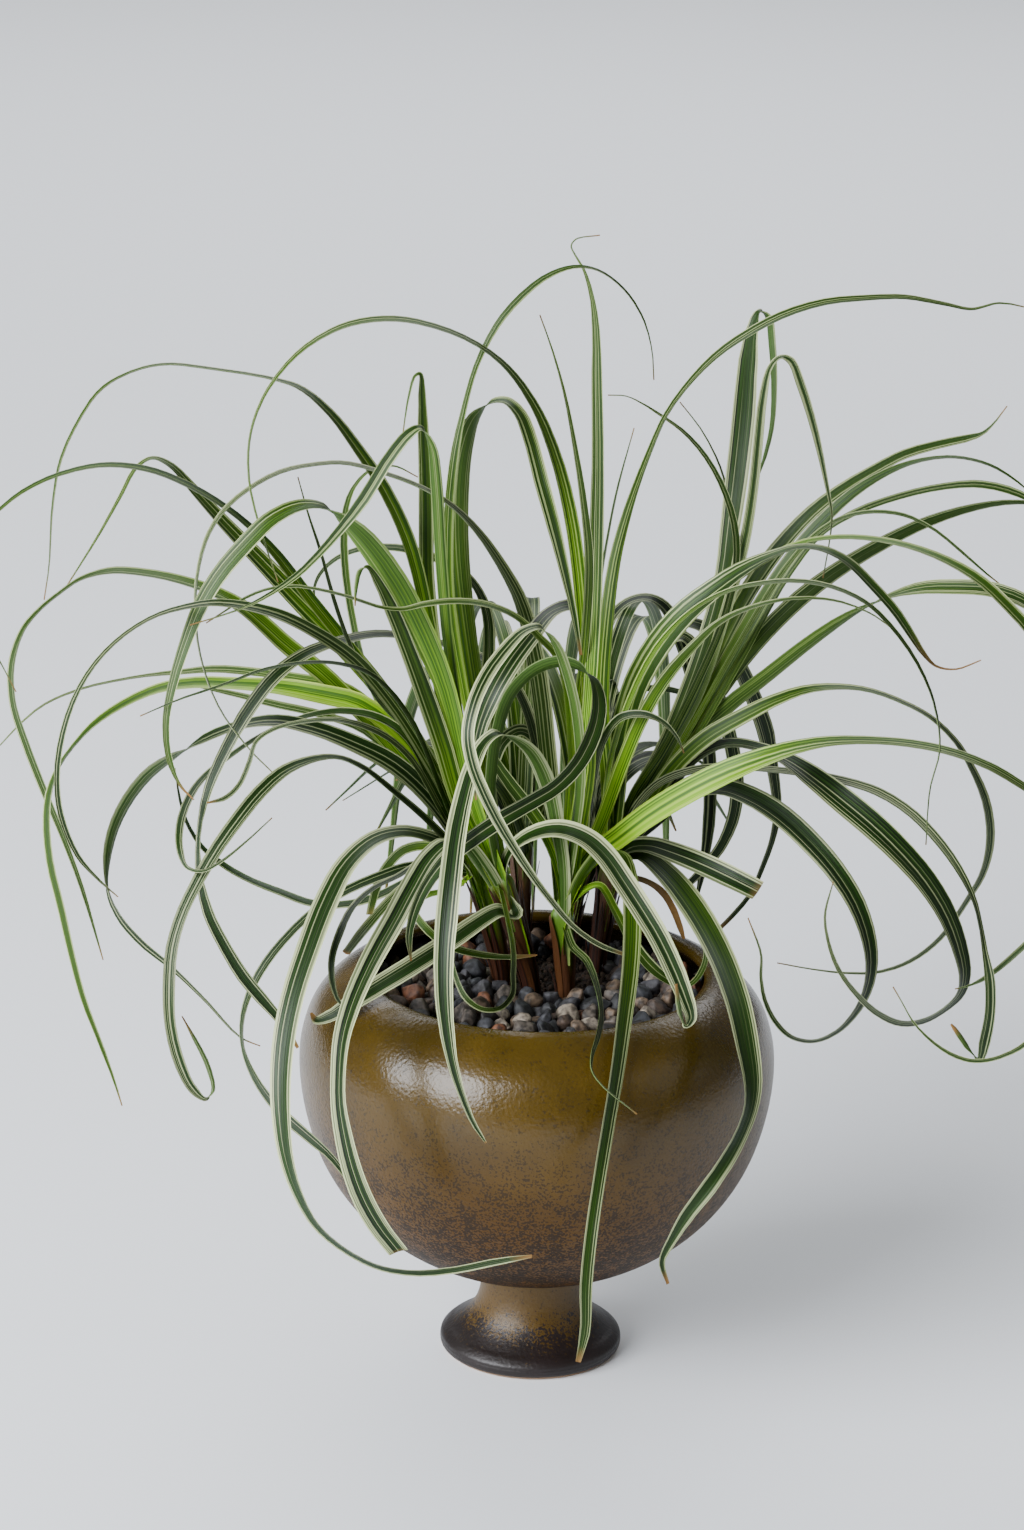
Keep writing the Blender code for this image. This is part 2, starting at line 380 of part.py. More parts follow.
    Leaf("shoot_back", (62, 74, 76, 66), (
        (592, 790, 12), (597, 700, 14), (602, 650, 14), (611, 619, 11), (628, 602, 8), (648, 598, 8),
        (665, 608, 12), (680, 636, 16), (693, 675, 17), (704, 720, 15), (710, 770, 14), (709, 820, 13),
        (704, 862, 9), (696, 902, 3))),
    Leaf("shoot_back", (60, 84, 90, 70), (
        (596, 795, 10), (616, 720, 11), (645, 655, 11), (678, 624, 10), (706, 629, 13), (731, 653, 15),
        (750, 690, 17), (765, 730, 18), (773, 772, 12), (777, 812, 9), (772, 840, 6), (762, 868, 5),
        (751, 893, 5), (733, 915, 5), (715, 933, 4))),
    Leaf("shoot_back", (52, 66, 62, 50), (
        (598, 800, 11), (622, 730, 12), (650, 660, 11), (680, 636, 11), (702, 657, 13), (719, 700, 15),
        (732, 748, 15), (737, 785, 14), (733, 818, 13), (721, 846, 11), (704, 868, 9), (688, 884, 7),
        (675, 893, 3))),
    Leaf("shoot_back", (36, 16, 12), (
        (588, 820, 7), (594, 775, 8), (604, 738, 8), (621, 717, 8), (643, 714, 7), (663, 722, 5),
        (677, 737, 3), (684, 753, 1))),
    Leaf("shoot_back", (64, 82, 92), (
        (590, 790, 7), (601, 725, 7), (622, 694, 7), (650, 688, 7), (680, 692, 6), (704, 704, 2))),
    Leaf("shoot_front", (-14, -48, -80, -92), (
        (572, 946, 8), (586, 960, 8), (596, 984, 5), (601, 1010, 4), (598, 1036, 5), (592, 1056, 3),
        (592, 1070, 1), (603, 1086, 1), (637, 1114, 1))),
    Leaf("shoot_inner", (-16, -36, -38, -30), (
        (513, 948, 5), (513, 975, 5), (512, 995, 5), (500, 1008, 5), (482, 1009, 5), (466, 998, 6),
        (456, 978, 5), (451, 955, 2))),
    Leaf("shoot_left", (10, -2, 2, 4), (
        (455, 888, 5), (425, 896, 7), (413, 906, 7), (424, 926, 8), (448, 945, 8), (478, 954, 7),
        (510, 957, 5), (537, 955, 2))),
    Leaf("shoot_right", (40, 22, 18), (
        (622, 874, 5), (645, 881, 6), (662, 892, 7), (673, 909, 7), (680, 927, 6), (684, 939, 3))),
    Leaf("shoot_front", (-4, -16, -16, -4), (
        (582, 892, 6), (600, 886, 7), (614, 908, 8), (630, 938, 10), (649, 964, 12), (671, 981, 9),
        (690, 984, 5), (702, 970, 6), (706, 953, 5), (702, 938, 2))),
    Leaf("shoot_front", (10, -8, -16, -20), (
        (573, 850, 7), (572, 760, 8), (560, 662, 8), (540, 638, 7), (515, 616, 6), (485, 604, 6),
        (455, 601, 6), (425, 604, 6), (403, 609, 4), (380, 607, 3), (350, 597, 3), (322, 590, 3),
        (295, 586, 3), (268, 589, 3), (245, 598, 3), (225, 611, 2), (206, 623, 1))),
    Leaf("shoot_front", (2, 0, -4), (
        (562, 880, 12), (552, 845, 14), (532, 812, 14), (511, 785, 13), (494, 760, 10), (482, 738, 5),
        (476, 722, 1))),
    Leaf("shoot_rear_left", (50, 40, 28), (
        (540, 812, 12), (548, 770, 16), (540, 742, 16), (520, 730, 12), (502, 742, 14), (494, 768, 10),
        (493, 792, 3))),
)

# Leaves behind the rest, which the view hardly shows. Each row is a shoot, how many
# leaves, and their turn in plan, length and last pitch, each from and to
HIDDEN_ROWS = (
    ("shoot_back", 6, (70, 104), (200.0, 290.0), (-88, -76)),
    ("shoot_rear_left", 6, (84, 116), (200.0, 290.0), (-88, -76)),
    ("shoot_back", 4, (34, 66), (92.0, 124.0), (-60, -30)),
    ("shoot_rear_left", 4, (118, 152), (92.0, 122.0), (-60, -30)),
    ("shoot_left", 2, (96, 116), (92.0, 118.0), (-56, -30)),
)
HIDDEN_FIRST_PITCH = (66, 82)
HIDDEN_BEND = 0.78
HIDDEN_WIDTH = (4.6, 7.2)


def clear_scene():
    """Remove what the scene holds."""
    for thing in list(bpy.data.objects):
        bpy.data.objects.remove(thing, do_unlink=True)


def sight_point(across, down, depth):
    """Place a point of the view on the plane that lies depth mm behind the pot's axis."""
    right = across - VIEW_MIDDLE[0]
    below = down - VIEW_MIDDLE[1]
    level_right = right * math.cos(VIEW_ROLL) + below * math.sin(VIEW_ROLL)
    level_below = below * math.cos(VIEW_ROLL) - right * math.sin(VIEW_ROLL)
    forward = Vector((0.0, math.cos(VIEW_PITCH), -math.sin(VIEW_PITCH)))
    upward = Vector((0.0, math.sin(VIEW_PITCH), math.cos(VIEW_PITCH)))
    ray = forward * VIEW_FOCAL + Vector((1.0, 0.0, 0.0)) * level_right - upward * level_below
    return VIEW_PLACE + ray * ((depth - VIEW_PLACE.y) / ray.y)


def smooth_value(values, place):
    """Read a Catmull-Rom curve through evenly spaced values at place, from 0 to 1."""
    last = len(values) - 1
    at = min(max(place, 0.0), 1.0) * last
    index = min(int(at), last - 1)
    part = at - index
    before = values[max(index - 1, 0)]
    here, there = values[index], values[index + 1]
    after = values[min(index + 2, last)]
    return 0.5 * (2 * here + (there - before) * part
                  + (2 * before - 5 * here + 4 * there - after) * part ** 2
                  + (3 * here - before - 3 * there + after) * part ** 3)


def smooth_step(value):
    """Rise smoothly from 0 to 1 as value does."""
    value = min(max(value, 0.0), 1.0)
    return value * value * (3.0 - 2.0 * value)


def mix(first, second, low, high, at):
    """Blend two places as at runs from low to high."""
    return (first * (high - at) + second * (at - low)) / (high - low)


def smooth_curve(points, steps):
    """Run a centripetal Catmull-Rom curve through pairs of a place and a seen width."""
    before_first = (points[0][0] * 2 - points[1][0], points[0][1])
    after_last = (points[-1][0] * 2 - points[-2][0], points[-1][1])
    row = [before_first, *points, after_last]
    curve = []
    for index in range(1, len(row) - 2):
        (p0, _), (p1, wide), (p2, next_wide), (p3, _) = row[index - 1:index + 3]
        t0 = 0.0
        t1 = t0 + max((p1 - p0).length, 0.01) ** 0.5
        t2 = t1 + max((p2 - p1).length, 0.01) ** 0.5
        t3 = t2 + max((p3 - p2).length, 0.01) ** 0.5
        for step in range(steps):
            at = t1 + (t2 - t1) * step / steps
            a1, a2, a3 = mix(p0, p1, t0, t1, at), mix(p1, p2, t1, t2, at), mix(p2, p3, t2, t3, at)
            b1, b2 = mix(a1, a2, t0, t2, at), mix(a2, a3, t1, t3, at)
            width = wide + (next_wide - wide) * smooth_step(step / steps)
            curve.append((mix(b1, b2, t1, t2, at), width))
    curve.append(points[-1])
    return curve


def pot_radius(height):
    """Give the pot's outer radius at a height, or zero above the lip."""
    for (low_radius, low), (high_radius, high) in zip(POT_OUTSIDE, POT_OUTSIDE[1:]):
        if low <= height <= high and high > low:
            return low_radius + (high_radius - low_radius) * (height - low) / (high - low)
    return 0.0


def clear_of_pot(place, half_width):
    """Bring a point of a leaf forward along its sight line until it misses the pot."""
    toward = (VIEW_PLACE - place).normalized()
    for _ in range(160):
        reach = math.hypot(place.x, place.y)
        height = place.z - POT_CLEARANCE - 0.4 * half_width
        inside_wall = pot_radius(height) + POT_CLEARANCE + 0.6 * half_width
        if reach >= inside_wall or height > POT_OUTSIDE[-1][1]:
            return place
        if reach < POT_INSIDE[0][0] - POT_CLEARANCE and place.z > GRAVEL_TOP:
            return place
        place = place + toward * 1.0
    return place


def sheath_curve(shoot):
    """Give the shoot's middle line: upright in the soil, then out to its crown."""
    across, back = shoot.plan
    crown = sight_point(*shoot.crown, shoot.crown_depth)
    foot = Vector((across, back, SHEATH_FOOT))
    mouth = Vector((across, back, SOIL_TOP + 4.0))
    return [foot, mouth, mouth.lerp(crown, 0.5) + Vector((0.0, 0.0, 1.5)), crown]


def off_axis(order):
    """Give a small step off the sheath's middle line, turned on for each leaf."""
    turn = math.radians(137.5 * order)
    return Vector((math.cos(turn), math.sin(turn), 0.0)) * (0.7 + 0.3 * (order % 4))


def traced_points(leaf, shoot, share, order):
    """Give a leaf's rough points in space: out of the sheath, then along its path."""
    foot, mouth, half, crown = sheath_curve(shoot)
    start = mouth.lerp(crown, 0.30 + 0.45 * share) + off_axis(order)
    second = mouth.lerp(crown, 0.55 + 0.45 * share) + off_axis(order) * 1.2
    scale = (crown - VIEW_PLACE).length / VIEW_FOCAL
    lengths = [0.0]
    for near, far in zip(leaf.path, leaf.path[1:]):
        lengths.append(lengths[-1] + math.dist(near[:2], far[:2]))
    lead = math.dist(shoot.crown, leaf.path[0][:2])
    depths = (crown.y, *leaf.depths)
    first_width = leaf.path[0][2] * scale
    points = [(start, first_width * 0.6), (second, first_width * 0.8)]
    for (across, down, wide), length in zip(leaf.path, lengths):
        depth = smooth_value(depths, (lead + length) / (lead + lengths[-1]))
        place = sight_point(across, down, depth)
        width = wide * scale
        points.append((clear_of_pot(place, abs(width) / 2), width))
    return points


def turn_side(leaf):
    """Say which way a leaf runs at its highest point: 1 to the right, -1 to the left."""
    top = min(range(len(leaf.path)), key=lambda index: leaf.path[index][1])
    near = leaf.path[max(top - 1, 0)]
    far = leaf.path[min(top + 1, len(leaf.path) - 1)]
    return 1.0 if far[0] >= near[0] else -1.0


def hidden_points(shoot, row, order, draw):
    """Draw the rough points of a leaf that arches away behind the plant.

    Returns them, and the level direction that the leaf's width lies along.
    """
    foot, mouth, half, crown = sheath_curve(shoot)
    _, count, (low, high), lengths, last_pitches = row
    turn = math.radians(low + (high - low) * (order + draw.uniform(0.15, 0.85)) / count)
    drift = math.radians(draw.uniform(-14, 14))
    first = math.radians(draw.uniform(*HIDDEN_FIRST_PITCH))
    last = math.radians(draw.uniform(*last_pitches))
    step = draw.uniform(*lengths) / 8
    wide = draw.uniform(*HIDDEN_WIDTH)
    aside = off_axis(order + 2)
    place = crown + aside * 1.4
    points = [(mouth.lerp(crown, 0.35 + 0.4 * order / count) + aside, wide * 0.5),
              (place, wide * 0.8)]
    for share in (0.06, 0.19, 0.31, 0.44, 0.56, 0.69, 0.81, 0.94):
        pitch = first + (last - first) * smooth_step(share / HIDDEN_BEND * 0.9 + 0.05)
        way = turn + drift * share
        level = math.cos(pitch)
        place = place + Vector((level * math.cos(way), level * math.sin(way),
                                math.sin(pitch))) * step
        points.append((place, wide * (1.0 - max(0.0, share - 0.5) * 1.9)))
    return points, Vector((-math.sin(turn), math.cos(turn), 0.0))


class Ribbon:
    """A leaf ready to mesh: its curve, the way its width lies, and its real width.

    A leaf that was read from the view turns so that its seen width comes out. One
    that wasn't has a flat direction for its width instead.
    """

    def __init__(self, shoot, points, side, blunt, flat):
        self.shoot = shoot
        self.side = side
        self.blunt = blunt
        self.flat = flat
        self.fine = smooth_curve(points, 8)
        self.widest = max(max(abs(width) for _, width in points) * 1.04, LEAF_LEAST_WIDTH)
        self.stations = self.pick_stations()
        self.shift = [0.0] * len(self.stations)

    def pick_stations(self):
        """Pick stations closer together where the leaf bends."""
        places = [place for place, _ in self.fine]
        spent = [0.0]
        for index in range(1, len(places)):
            before = places[index] - places[index - 1]
            cost = before.length / STATION_LENGTH
            if index + 1 < len(places):
                after = places[index + 1] - places[index]
                if before.length > 1e-6 and after.length > 1e-6:
                    cost += before.angle(after) / STATION_TURN
            spent.append(spent[-1] + cost)
        count = max(7, round(spent[-1]))
        picked = [0]
        for order in range(1, count):
            goal = spent[-1] * order / count
            index = min(range(len(spent)), key=lambda k: abs(spent[k] - goal))
            if index > picked[-1]:
                picked.append(index)
        if picked[-1] != len(places) - 1:
            picked.append(len(places) - 1)
        return picked

    def lengths(self):
        """Give the length along the leaf at each station."""
        along = [0.0]
        for near, far in zip(self.fine, self.fine[1:]):
            along.append(along[-1] + (far[0] - near[0]).length)
        return [along[index] for index in self.stations]

    def places(self):
        """Give the stations' places, with what parting moved along the sight lines."""
        moved = []
        for index, shift in zip(self.stations, self.shift):
            place = self.fine[index][0]
            moved.append(place + (place - VIEW_PLACE).normalized() * shift)
        return moved

    def real_width(self, share, seen):
        """Give the leaf's real width at a share of its length."""
        root = 0.55 + 0.45 * smooth_step(share / 0.16)
        taper = 1.0 - 0.86 * max(0.0, (share - TAPER_START) / (1.0 - TAPER_START)) ** 1.1
        if self.blunt:
            taper = 1.0
        return max(self.widest * root * taper, abs(seen), LEAF_TIP_WIDTH)

    def sections(self):
        """Give each station's place, width direction, face direction and half width."""
        places = self.places()
        along = self.lengths()
        sections = []
        for order, place in enumerate(places):
            near = places[max(order - 1, 0)]
            far = places[min(order + 1, len(places) - 1)]
            tangent = (far - near).normalized()
            view = (place - VIEW_PLACE).normalized()
            seen = self.fine[self.stations[order]][1]
            real = self.real_width(along[order] / along[-1], seen)
            if self.flat:
                wide = (self.flat - tangent * self.flat.dot(tangent)).normalized()
            else:
                upright = (tangent.cross(view) * self.side).normalized()
                away = (view - tangent * view.dot(tangent)).normalized()
                turn = math.acos(min(max(seen / real, -1.0), 1.0))
                wide = upright * math.cos(turn) + away * math.sin(turn)
            face = tangent.cross(wide) * (1.0 if self.flat else self.side)
            sections.append((place, wide, face.normalized(), real / 2))
        return sections

    def solid(self, extra=0.0):
        """Give the leaf's vertices and faces, extra mm fatter all round where asked."""
        vertices, faces = [], []
        sections = self.sections()
        last = len(sections) - 1
        for order, (place, wide, face, half) in enumerate(sections):
            thick = LEAF_THICK + (LEAF_TIP_THICK - LEAF_THICK) * order / last
            vertices += [place - wide * (half + extra) + face * (thick / 3 + extra),
                         place + wide * (half + extra) + face * (thick / 3 + extra),
                         place - face * (thick * 2 / 3 + extra)]
        for order in range(last):
            low, high = order * 3, order * 3 + 3
            for corner in range(3):
                after = (corner + 1) % 3
                faces.append((low + corner, low + after, high + after, high + corner))
        faces.append((2, 1, 0))
        faces.append(tuple(last * 3 + corner for corner in range(3)))
        return vertices, faces


def grow():
    """Make every leaf's ribbon, the read ones first and then the hidden ones."""
    shoots = {shoot.name: shoot for shoot in SHOOTS}
    read = LEFT_LEAVES + MIDDLE_LEAVES
    ribbons = []
    for name, shoot in shoots.items():
        mine = [leaf for leaf in read if leaf.shoot == name]
        for order, leaf in enumerate(mine):
            points = traced_points(leaf, shoot, order / max(len(mine) - 1, 1), order)
            ribbons.append(Ribbon(name, points, turn_side(leaf), leaf.blunt, None))
    draw = random.Random(SEED)
    for row in HIDDEN_ROWS:
        for order in range(row[1]):
            points, across = hidden_points(shoots[row[0]], row, order, draw)
            ribbons.append(Ribbon(row[0], points, 1.0, False, across))
    return ribbons


def sheath_solid(shoot, extra=0.0):
    """Give a shoot's sheath as a tapered tube with a round end."""
    line = sheath_curve(shoot)
    foot, mouth, half, crown = line
    over = crown + (crown - half).normalized() * (shoot.crown_radius * 2)
    rings = ((foot, SHEATH_RADIUS), (mouth, SHEATH_RADIUS), (half, SHEATH_RADIUS * 0.86),
             (crown, shoot.crown_radius), (over, shoot.crown_radius * 0.5))
    vertices, faces = [], []
    for order, (place, radius) in enumerate(rings):
        if order < 2:
            along = Vector((0.0, 0.0, 1.0))
        else:
            along = (crown - mouth).normalized()
        across = along.cross(Vector((0.0, 1.0, 0.0))).normalized()
        inward = along.cross(across)
        for side in range(SHEATH_SIDES):
            turn = 2 * math.pi * side / SHEATH_SIDES
            vertices.append(place + (across * math.cos(turn) + inward * math.sin(turn))
                            * (radius + extra))
    for order in range(len(rings) - 1):
        for side in range(SHEATH_SIDES):
            after = (side + 1) % SHEATH_SIDES
            low, high = order * SHEATH_SIDES, (order + 1) * SHEATH_SIDES
            faces.append((low + side, low + after, high + after, high + side))
    faces.append(tuple(range(SHEATH_SIDES - 1, -1, -1)))
    faces.append(tuple((len(rings) - 1) * SHEATH_SIDES + side for side in range(SHEATH_SIDES)))
    return vertices, faces


def part_leaves(ribbons):
    """Move leaves that cross apart along the sight lines, smoothly and in small steps.

    Leaves of one shoot may touch near their roots. Returns how many pairs still
    cross when the rounds are spent.
    """
    sheaths = [(shoot.name, BVHTree.FromPolygons(*sheath_solid(shoot, PART_MARGIN)))
               for shoot in SHOOTS]
    order_of, stuck = {}, {}
    left = 0
    lengths = [ribbon.lengths() for ribbon in ribbons]
    for turn in range(PART_ROUNDS):
        trees, boxes = [], []
        for ribbon in ribbons:
            vertices, faces = ribbon.solid(PART_MARGIN / 2)
            trees.append(BVHTree.FromPolygons(vertices, faces))
            boxes.append([(min(v[k] for v in vertices), max(v[k] for v in vertices))
                          for k in range(3)])
        pushes = [[] for _ in ribbons]
        left = 0
        for first in range(len(ribbons)):
            for second in range(first + 1, len(ribbons)):
                if any(boxes[first][k][0] > boxes[second][k][1]
                       or boxes[second][k][0] > boxes[first][k][1] for k in range(3)):
                    continue
                same = ribbons[first].shoot == ribbons[second].shoot
                if same and turn > PART_ROUNDS * 0.7:
                    continue
                hits = [(a // 3, b // 3) for a, b in trees[first].overlap(trees[second])]
                hits = [(min(a, len(lengths[first]) - 1), min(b, len(lengths[second]) - 1))
                        for a, b in hits]
                if same:
                    hits = [(a, b) for a, b in hits if lengths[first][a] > ROOT_ZONE
                            and lengths[second][b] > ROOT_ZONE]
                if not hits:
                    continue
                left += 1
                near = sum(lengths[first][a] for a, _ in hits) / len(hits)
                far = sum(lengths[second][b] for _, b in hits) / len(hits)
                key = (first, second, round(near / 60.0))
                if key not in order_of:
                    order_of[key] = crossing_order(ribbons, first, second, hits)
                stuck[key] = stuck.get(key, 0) + 1
                if stuck[key] % PART_PATIENCE == 0:
                    order_of[key] = -order_of[key]
                pushes[first].append((near, -order_of[key]))
                pushes[second].append((far, order_of[key]))
        for index, ribbon in enumerate(ribbons):
            for name, tree in sheaths:
                if name == ribbon.shoot:
                    continue
                hits = [min(a // 3, len(lengths[index]) - 1) for a, _ in trees[index].overlap(tree)]
                if hits:
                    left += 1
                    at = sum(lengths[index][a] for a in hits) / len(hits)
                    place = ribbon.places()[round(sum(hits) / len(hits))]
                    shoot = next(item for item in SHOOTS if item.name == name)
                    pushes[index].append((at, -1.6 if place.y < shoot.plan[1] else 1.6))
        if not left:
            break
        for index, ribbon in enumerate(ribbons):
            for at, way in pushes[index]:
                for station, length in enumerate(lengths[index]):
                    hold = smooth_step(length / 30.0)
                    bump = math.exp(-((length - at) / PART_REACH) ** 2)
                    ribbon.shift[station] += way * PART_STEP / 2 * bump * hold
    return left


def crossing_order(ribbons, first, second, hits):
    """Say which of two crossing leaves lies nearer the view: 1 for the first."""
    first_depth = second_depth = 0.0
    first_places, second_places = ribbons[first].places(), ribbons[second].places()
    for a, b in hits:
        first_depth += (first_places[a] - VIEW_PLACE).length
        second_depth += (second_places[b] - VIEW_PLACE).length
    return 1.0 if first_depth <= second_depth else -1.0


def add_material(name, colour, roughness, metallic=0.0):
    """Make a plain material from a linear colour."""
    material = bpy.data.materials.new(name)
    material.use_nodes = True
    shader = material.node_tree.nodes["Principled BSDF"]
    shader.inputs["Base Color"].default_value = (*colour, 1.0)
    shader.inputs["Roughness"].default_value = roughness
    shader.inputs["Metallic"].default_value = metallic
    return material


def add_object(name, vertices, faces, material=None):
    """Make an object from vertices in mm and faces that point outwards."""
    mesh = bpy.data.meshes.new(name)
    mesh.from_pydata([vertex * MM for vertex in vertices], [], faces)
    mesh.update()
    solid = bpy.data.objects.new(name, mesh)
    bpy.context.scene.collection.objects.link(solid)
    if material:
        mesh.materials.append(material)
    shape = bmesh.new()
    shape.from_mesh(mesh)
    bmesh.ops.recalc_face_normals(shape, faces=shape.faces)
    shape.to_mesh(mesh)
    shape.free()
    return solid


def turned(outline, sides):
    """Turn an outline that starts and ends on the axis into vertices and faces."""
    vertices = [Vector((0.0, 0.0, outline[0][1]))]
    for radius, height in outline[1:-1]:
        for side in range(sides):
            turn = 2 * math.pi * side / sides
            vertices.append(Vector((radius * math.cos(turn), radius * math.sin(turn), height)))
    vertices.append(Vector((0.0, 0.0, outline[-1][1])))
    rings = len(outline) - 2
    top = len(vertices) - 1
    faces = []
    for side in range(sides):
        after = (side + 1) % sides
        faces.append((0, 1 + after, 1 + side))
        for ring in range(rings - 1):
            low, high = 1 + ring * sides, 1 + (ring + 1) * sides
            faces.append((low + side, low + after, high + after, high + side))
        faces.append((1 + (rings - 1) * sides + side, 1 + (rings - 1) * sides + after, top))
    return vertices, faces


def unite(base, others, operation="UNION"):
    """Join a collection of solids to base, or cut them from it, and remove them.

    Returns the places where the result touches itself along an edge.
    """
    group = bpy.data.collections.new("parts")
    for other in others:
        group.objects.link(other)
    change = base.modifiers.new("join", "BOOLEAN")
    change.operation = operation
    change.operand_type = "COLLECTION"
    change.collection = group
    change.solver = "MANIFOLD"
    evaluated = base.evaluated_get(bpy.context.evaluated_depsgraph_get())
    mesh = bpy.data.meshes.new_from_object(evaluated)
    base.modifiers.remove(change)
    old = base.data
    base.data = mesh
    bpy.data.meshes.remove(old)
    for other in others:
        bpy.data.objects.remove(other, do_unlink=True)
    bpy.data.collections.remove(group)
    return keep_body(base)


def keep_body(solid):
    """Keep an object's one large body: fill sealed hollows and drop loose scraps.

    Returns the places where the body touches itself along an edge.
    """
    shape = bmesh.new()
    shape.from_mesh(solid.data)
    bmesh.ops.triangulate(shape, faces=shape.faces)
    bmesh.ops.remove_doubles(shape, verts=shape.verts, dist=TOUCH * MM)
    unseen = set(shape.faces)
    bodies = []
    while unseen:
        body = {unseen.pop()}
        edge_of_body = list(body)
        while edge_of_body:
            face = edge_of_body.pop()
            for edge in face.edges:
                for other in edge.link_faces:
                    if other in unseen and len(edge.link_faces) == 2:
                        unseen.discard(other)
                        body.add(other)
                        edge_of_body.append(other)
        bodies.append(body)
    bodies.sort(key=len, reverse=True)
    touches = []
    for body in bodies[1:]:
        if len(body) > 24:
            touches.append(next(iter(body)).calc_center_median() / MM)
        bmesh.ops.delete(shape, geom=list(body), context="FACES")
    shape.to_mesh(solid.data)
    touches += [(edge.verts[0].co + edge.verts[1].co) / 2 / MM for edge in shape.edges
                if len(edge.link_faces) != 2]
    shape.free()
    return touches


def build_pot():
    """Make the pot: foot, stem and bowl turned as one piece, open at the lip."""
    outline = ((0.0, 0.0), *POT_OUTSIDE, *POT_INSIDE, (0.0, POT_FLOOR))
    vertices, faces = turned(outline, POT_SIDES)
    pot = add_object("pot", vertices, faces, add_material("glaze", (0.30, 0.19, 0.05), 0.3))
    pot.data.shade_smooth()
    pot.data.set_sharp_from_angle(angle=math.radians(40))


def inner_radius(height):
    """Give the radius of the pot's hollow at a height."""
    line = (*POT_INSIDE, (0.0, POT_FLOOR))
    for (high_radius, high), (low_radius, low) in zip(line, line[1:]):
        if low <= height <= high and high > low:
            return low_radius + (high_radius - low_radius) * (height - low) / (high - low)
    return POT_INSIDE[0][0]


def build_soil():
    """Make the soil that fills the bowl, with a plain hole for each shoot."""
    below = [(radius - GAP * 1.6, height + GAP * 0.6) for radius, height in POT_INSIDE
             if height < SOIL_TOP - 1.0]
    edge = (inner_radius(SOIL_TOP) - GAP * 1.6, SOIL_TOP)
    outline = [(0.0, POT_FLOOR + GAP), *reversed(below), edge, (0.0, SOIL_TOP)]
    vertices, faces = turned(outline, POT_SIDES)
    soil = add_object("soil", vertices, faces, add_material("soil", (0.02, 0.014, 0.01), 0.95))
    cutters = []
    for shoot in SHOOTS:
        ring = [(0.0, HOLE_FLOOR), (HOLE_RADIUS, HOLE_FLOOR), (HOLE_RADIUS, SOIL_TOP + 4.0),
                (0.0, SOIL_TOP + 4.0)]
        vertices, faces = turned(ring, 12)
        middle = Vector((*shoot.plan, 0.0))
        cutters.append(add_object("hole", [vertex + middle for vertex in vertices], faces))
    unite(soil, cutters, "DIFFERENCE")


def pebble(place, radius, draw):
    """Give one pebble: a squashed twenty-sided ball turned at random."""
    shape = bmesh.new()
    bmesh.ops.create_icosphere(shape, subdivisions=1, radius=1.0)
    stretch = Vector((draw.uniform(0.9, 1.3), draw.uniform(0.8, 1.05), draw.uniform(0.6, 0.85)))
    turn = draw.uniform(0.0, 2 * math.pi)
    vertices = []
    for vertex in shape.verts:
        point = Vector(vertex.co[k] * stretch[k] * radius * draw.uniform(0.88, 1.06)
                       for k in range(3))
        spun = Vector((point.x * math.cos(turn) - point.y * math.sin(turn),
                       point.x * math.sin(turn) + point.y * math.cos(turn), point.z))
        spot = place + spun
        spot.z = max(spot.z, SOIL_TOP + 2 * GAP)
        vertices.append(spot)
    faces = [tuple(vertex.index for vertex in face.verts) for face in shape.faces]
    shape.free()
    return vertices, faces


def build_gravel():
    """Make the gravel: a ring on the soil round the shoots, with pebbles sunk in it."""
    middle = Vector((*GRAVEL_OPENING_CENTRE, 0.0))
    vertices, faces = [], []
    for height in (SOIL_TOP + GAP, GRAVEL_TOP):
        for ring in range(2):
            for side in range(GRAVEL_SIDES):
                turn = 2 * math.pi * side / GRAVEL_SIDES
                way = Vector((math.cos(turn), math.sin(turn), 0.0))
                if ring:
                    vertices.append(way * (min(inner_radius(height), GRAVEL_OUTER) - 2 * GAP)
                                    + Vector((0.0, 0.0, height)))
                else:
                    vertices.append(middle + way * GRAVEL_OPENING + Vector((0.0, 0.0, height)))
    for side in range(GRAVEL_SIDES):
        after = (side + 1) % GRAVEL_SIDES
        low_in, low_out, high_in, high_out = (k * GRAVEL_SIDES for k in range(4))
        faces += [(low_in + side, low_in + after, low_out + after, low_out + side),
                  (high_out + side, high_out + after, high_in + after, high_in + side),
                  (low_out + side, low_out + after, high_out + after, high_out + side),
                  (high_in + side, high_in + after, low_in + after, low_in + side)]
    stone = add_material("gravel", (0.16, 0.14, 0.13), 0.8)
    bed = add_object("gravel", vertices, faces, stone)
    draw = random.Random(PEBBLE_SEED)
    pebbles = []
    rows = round(GRAVEL_OUTER / PEBBLE_STEP)
    for row in range(-rows, rows + 1):
        for column in range(-rows, rows + 1):
            across = (column + 0.5 * (row % 2)) * PEBBLE_STEP + draw.uniform(-1.3, 1.3)
            back = row * PEBBLE_STEP * 0.87 + draw.uniform(-1.3, 1.3)
            radius = draw.uniform(PEBBLE_LOW, PEBBLE_HIGH)
            from_opening = math.hypot(across - middle.x, back - middle.y)
            if math.hypot(across, back) + radius * 1.3 > POT_INSIDE[0][0] + 2.0:
                continue
            if from_opening - radius * 0.6 < GRAVEL_OPENING:
                continue
            place = Vector((across, back, GRAVEL_TOP + radius * 0.22))
            pebbles.append(add_object("pebble", *pebble(place, radius, draw)))
    unite(bed, pebbles)


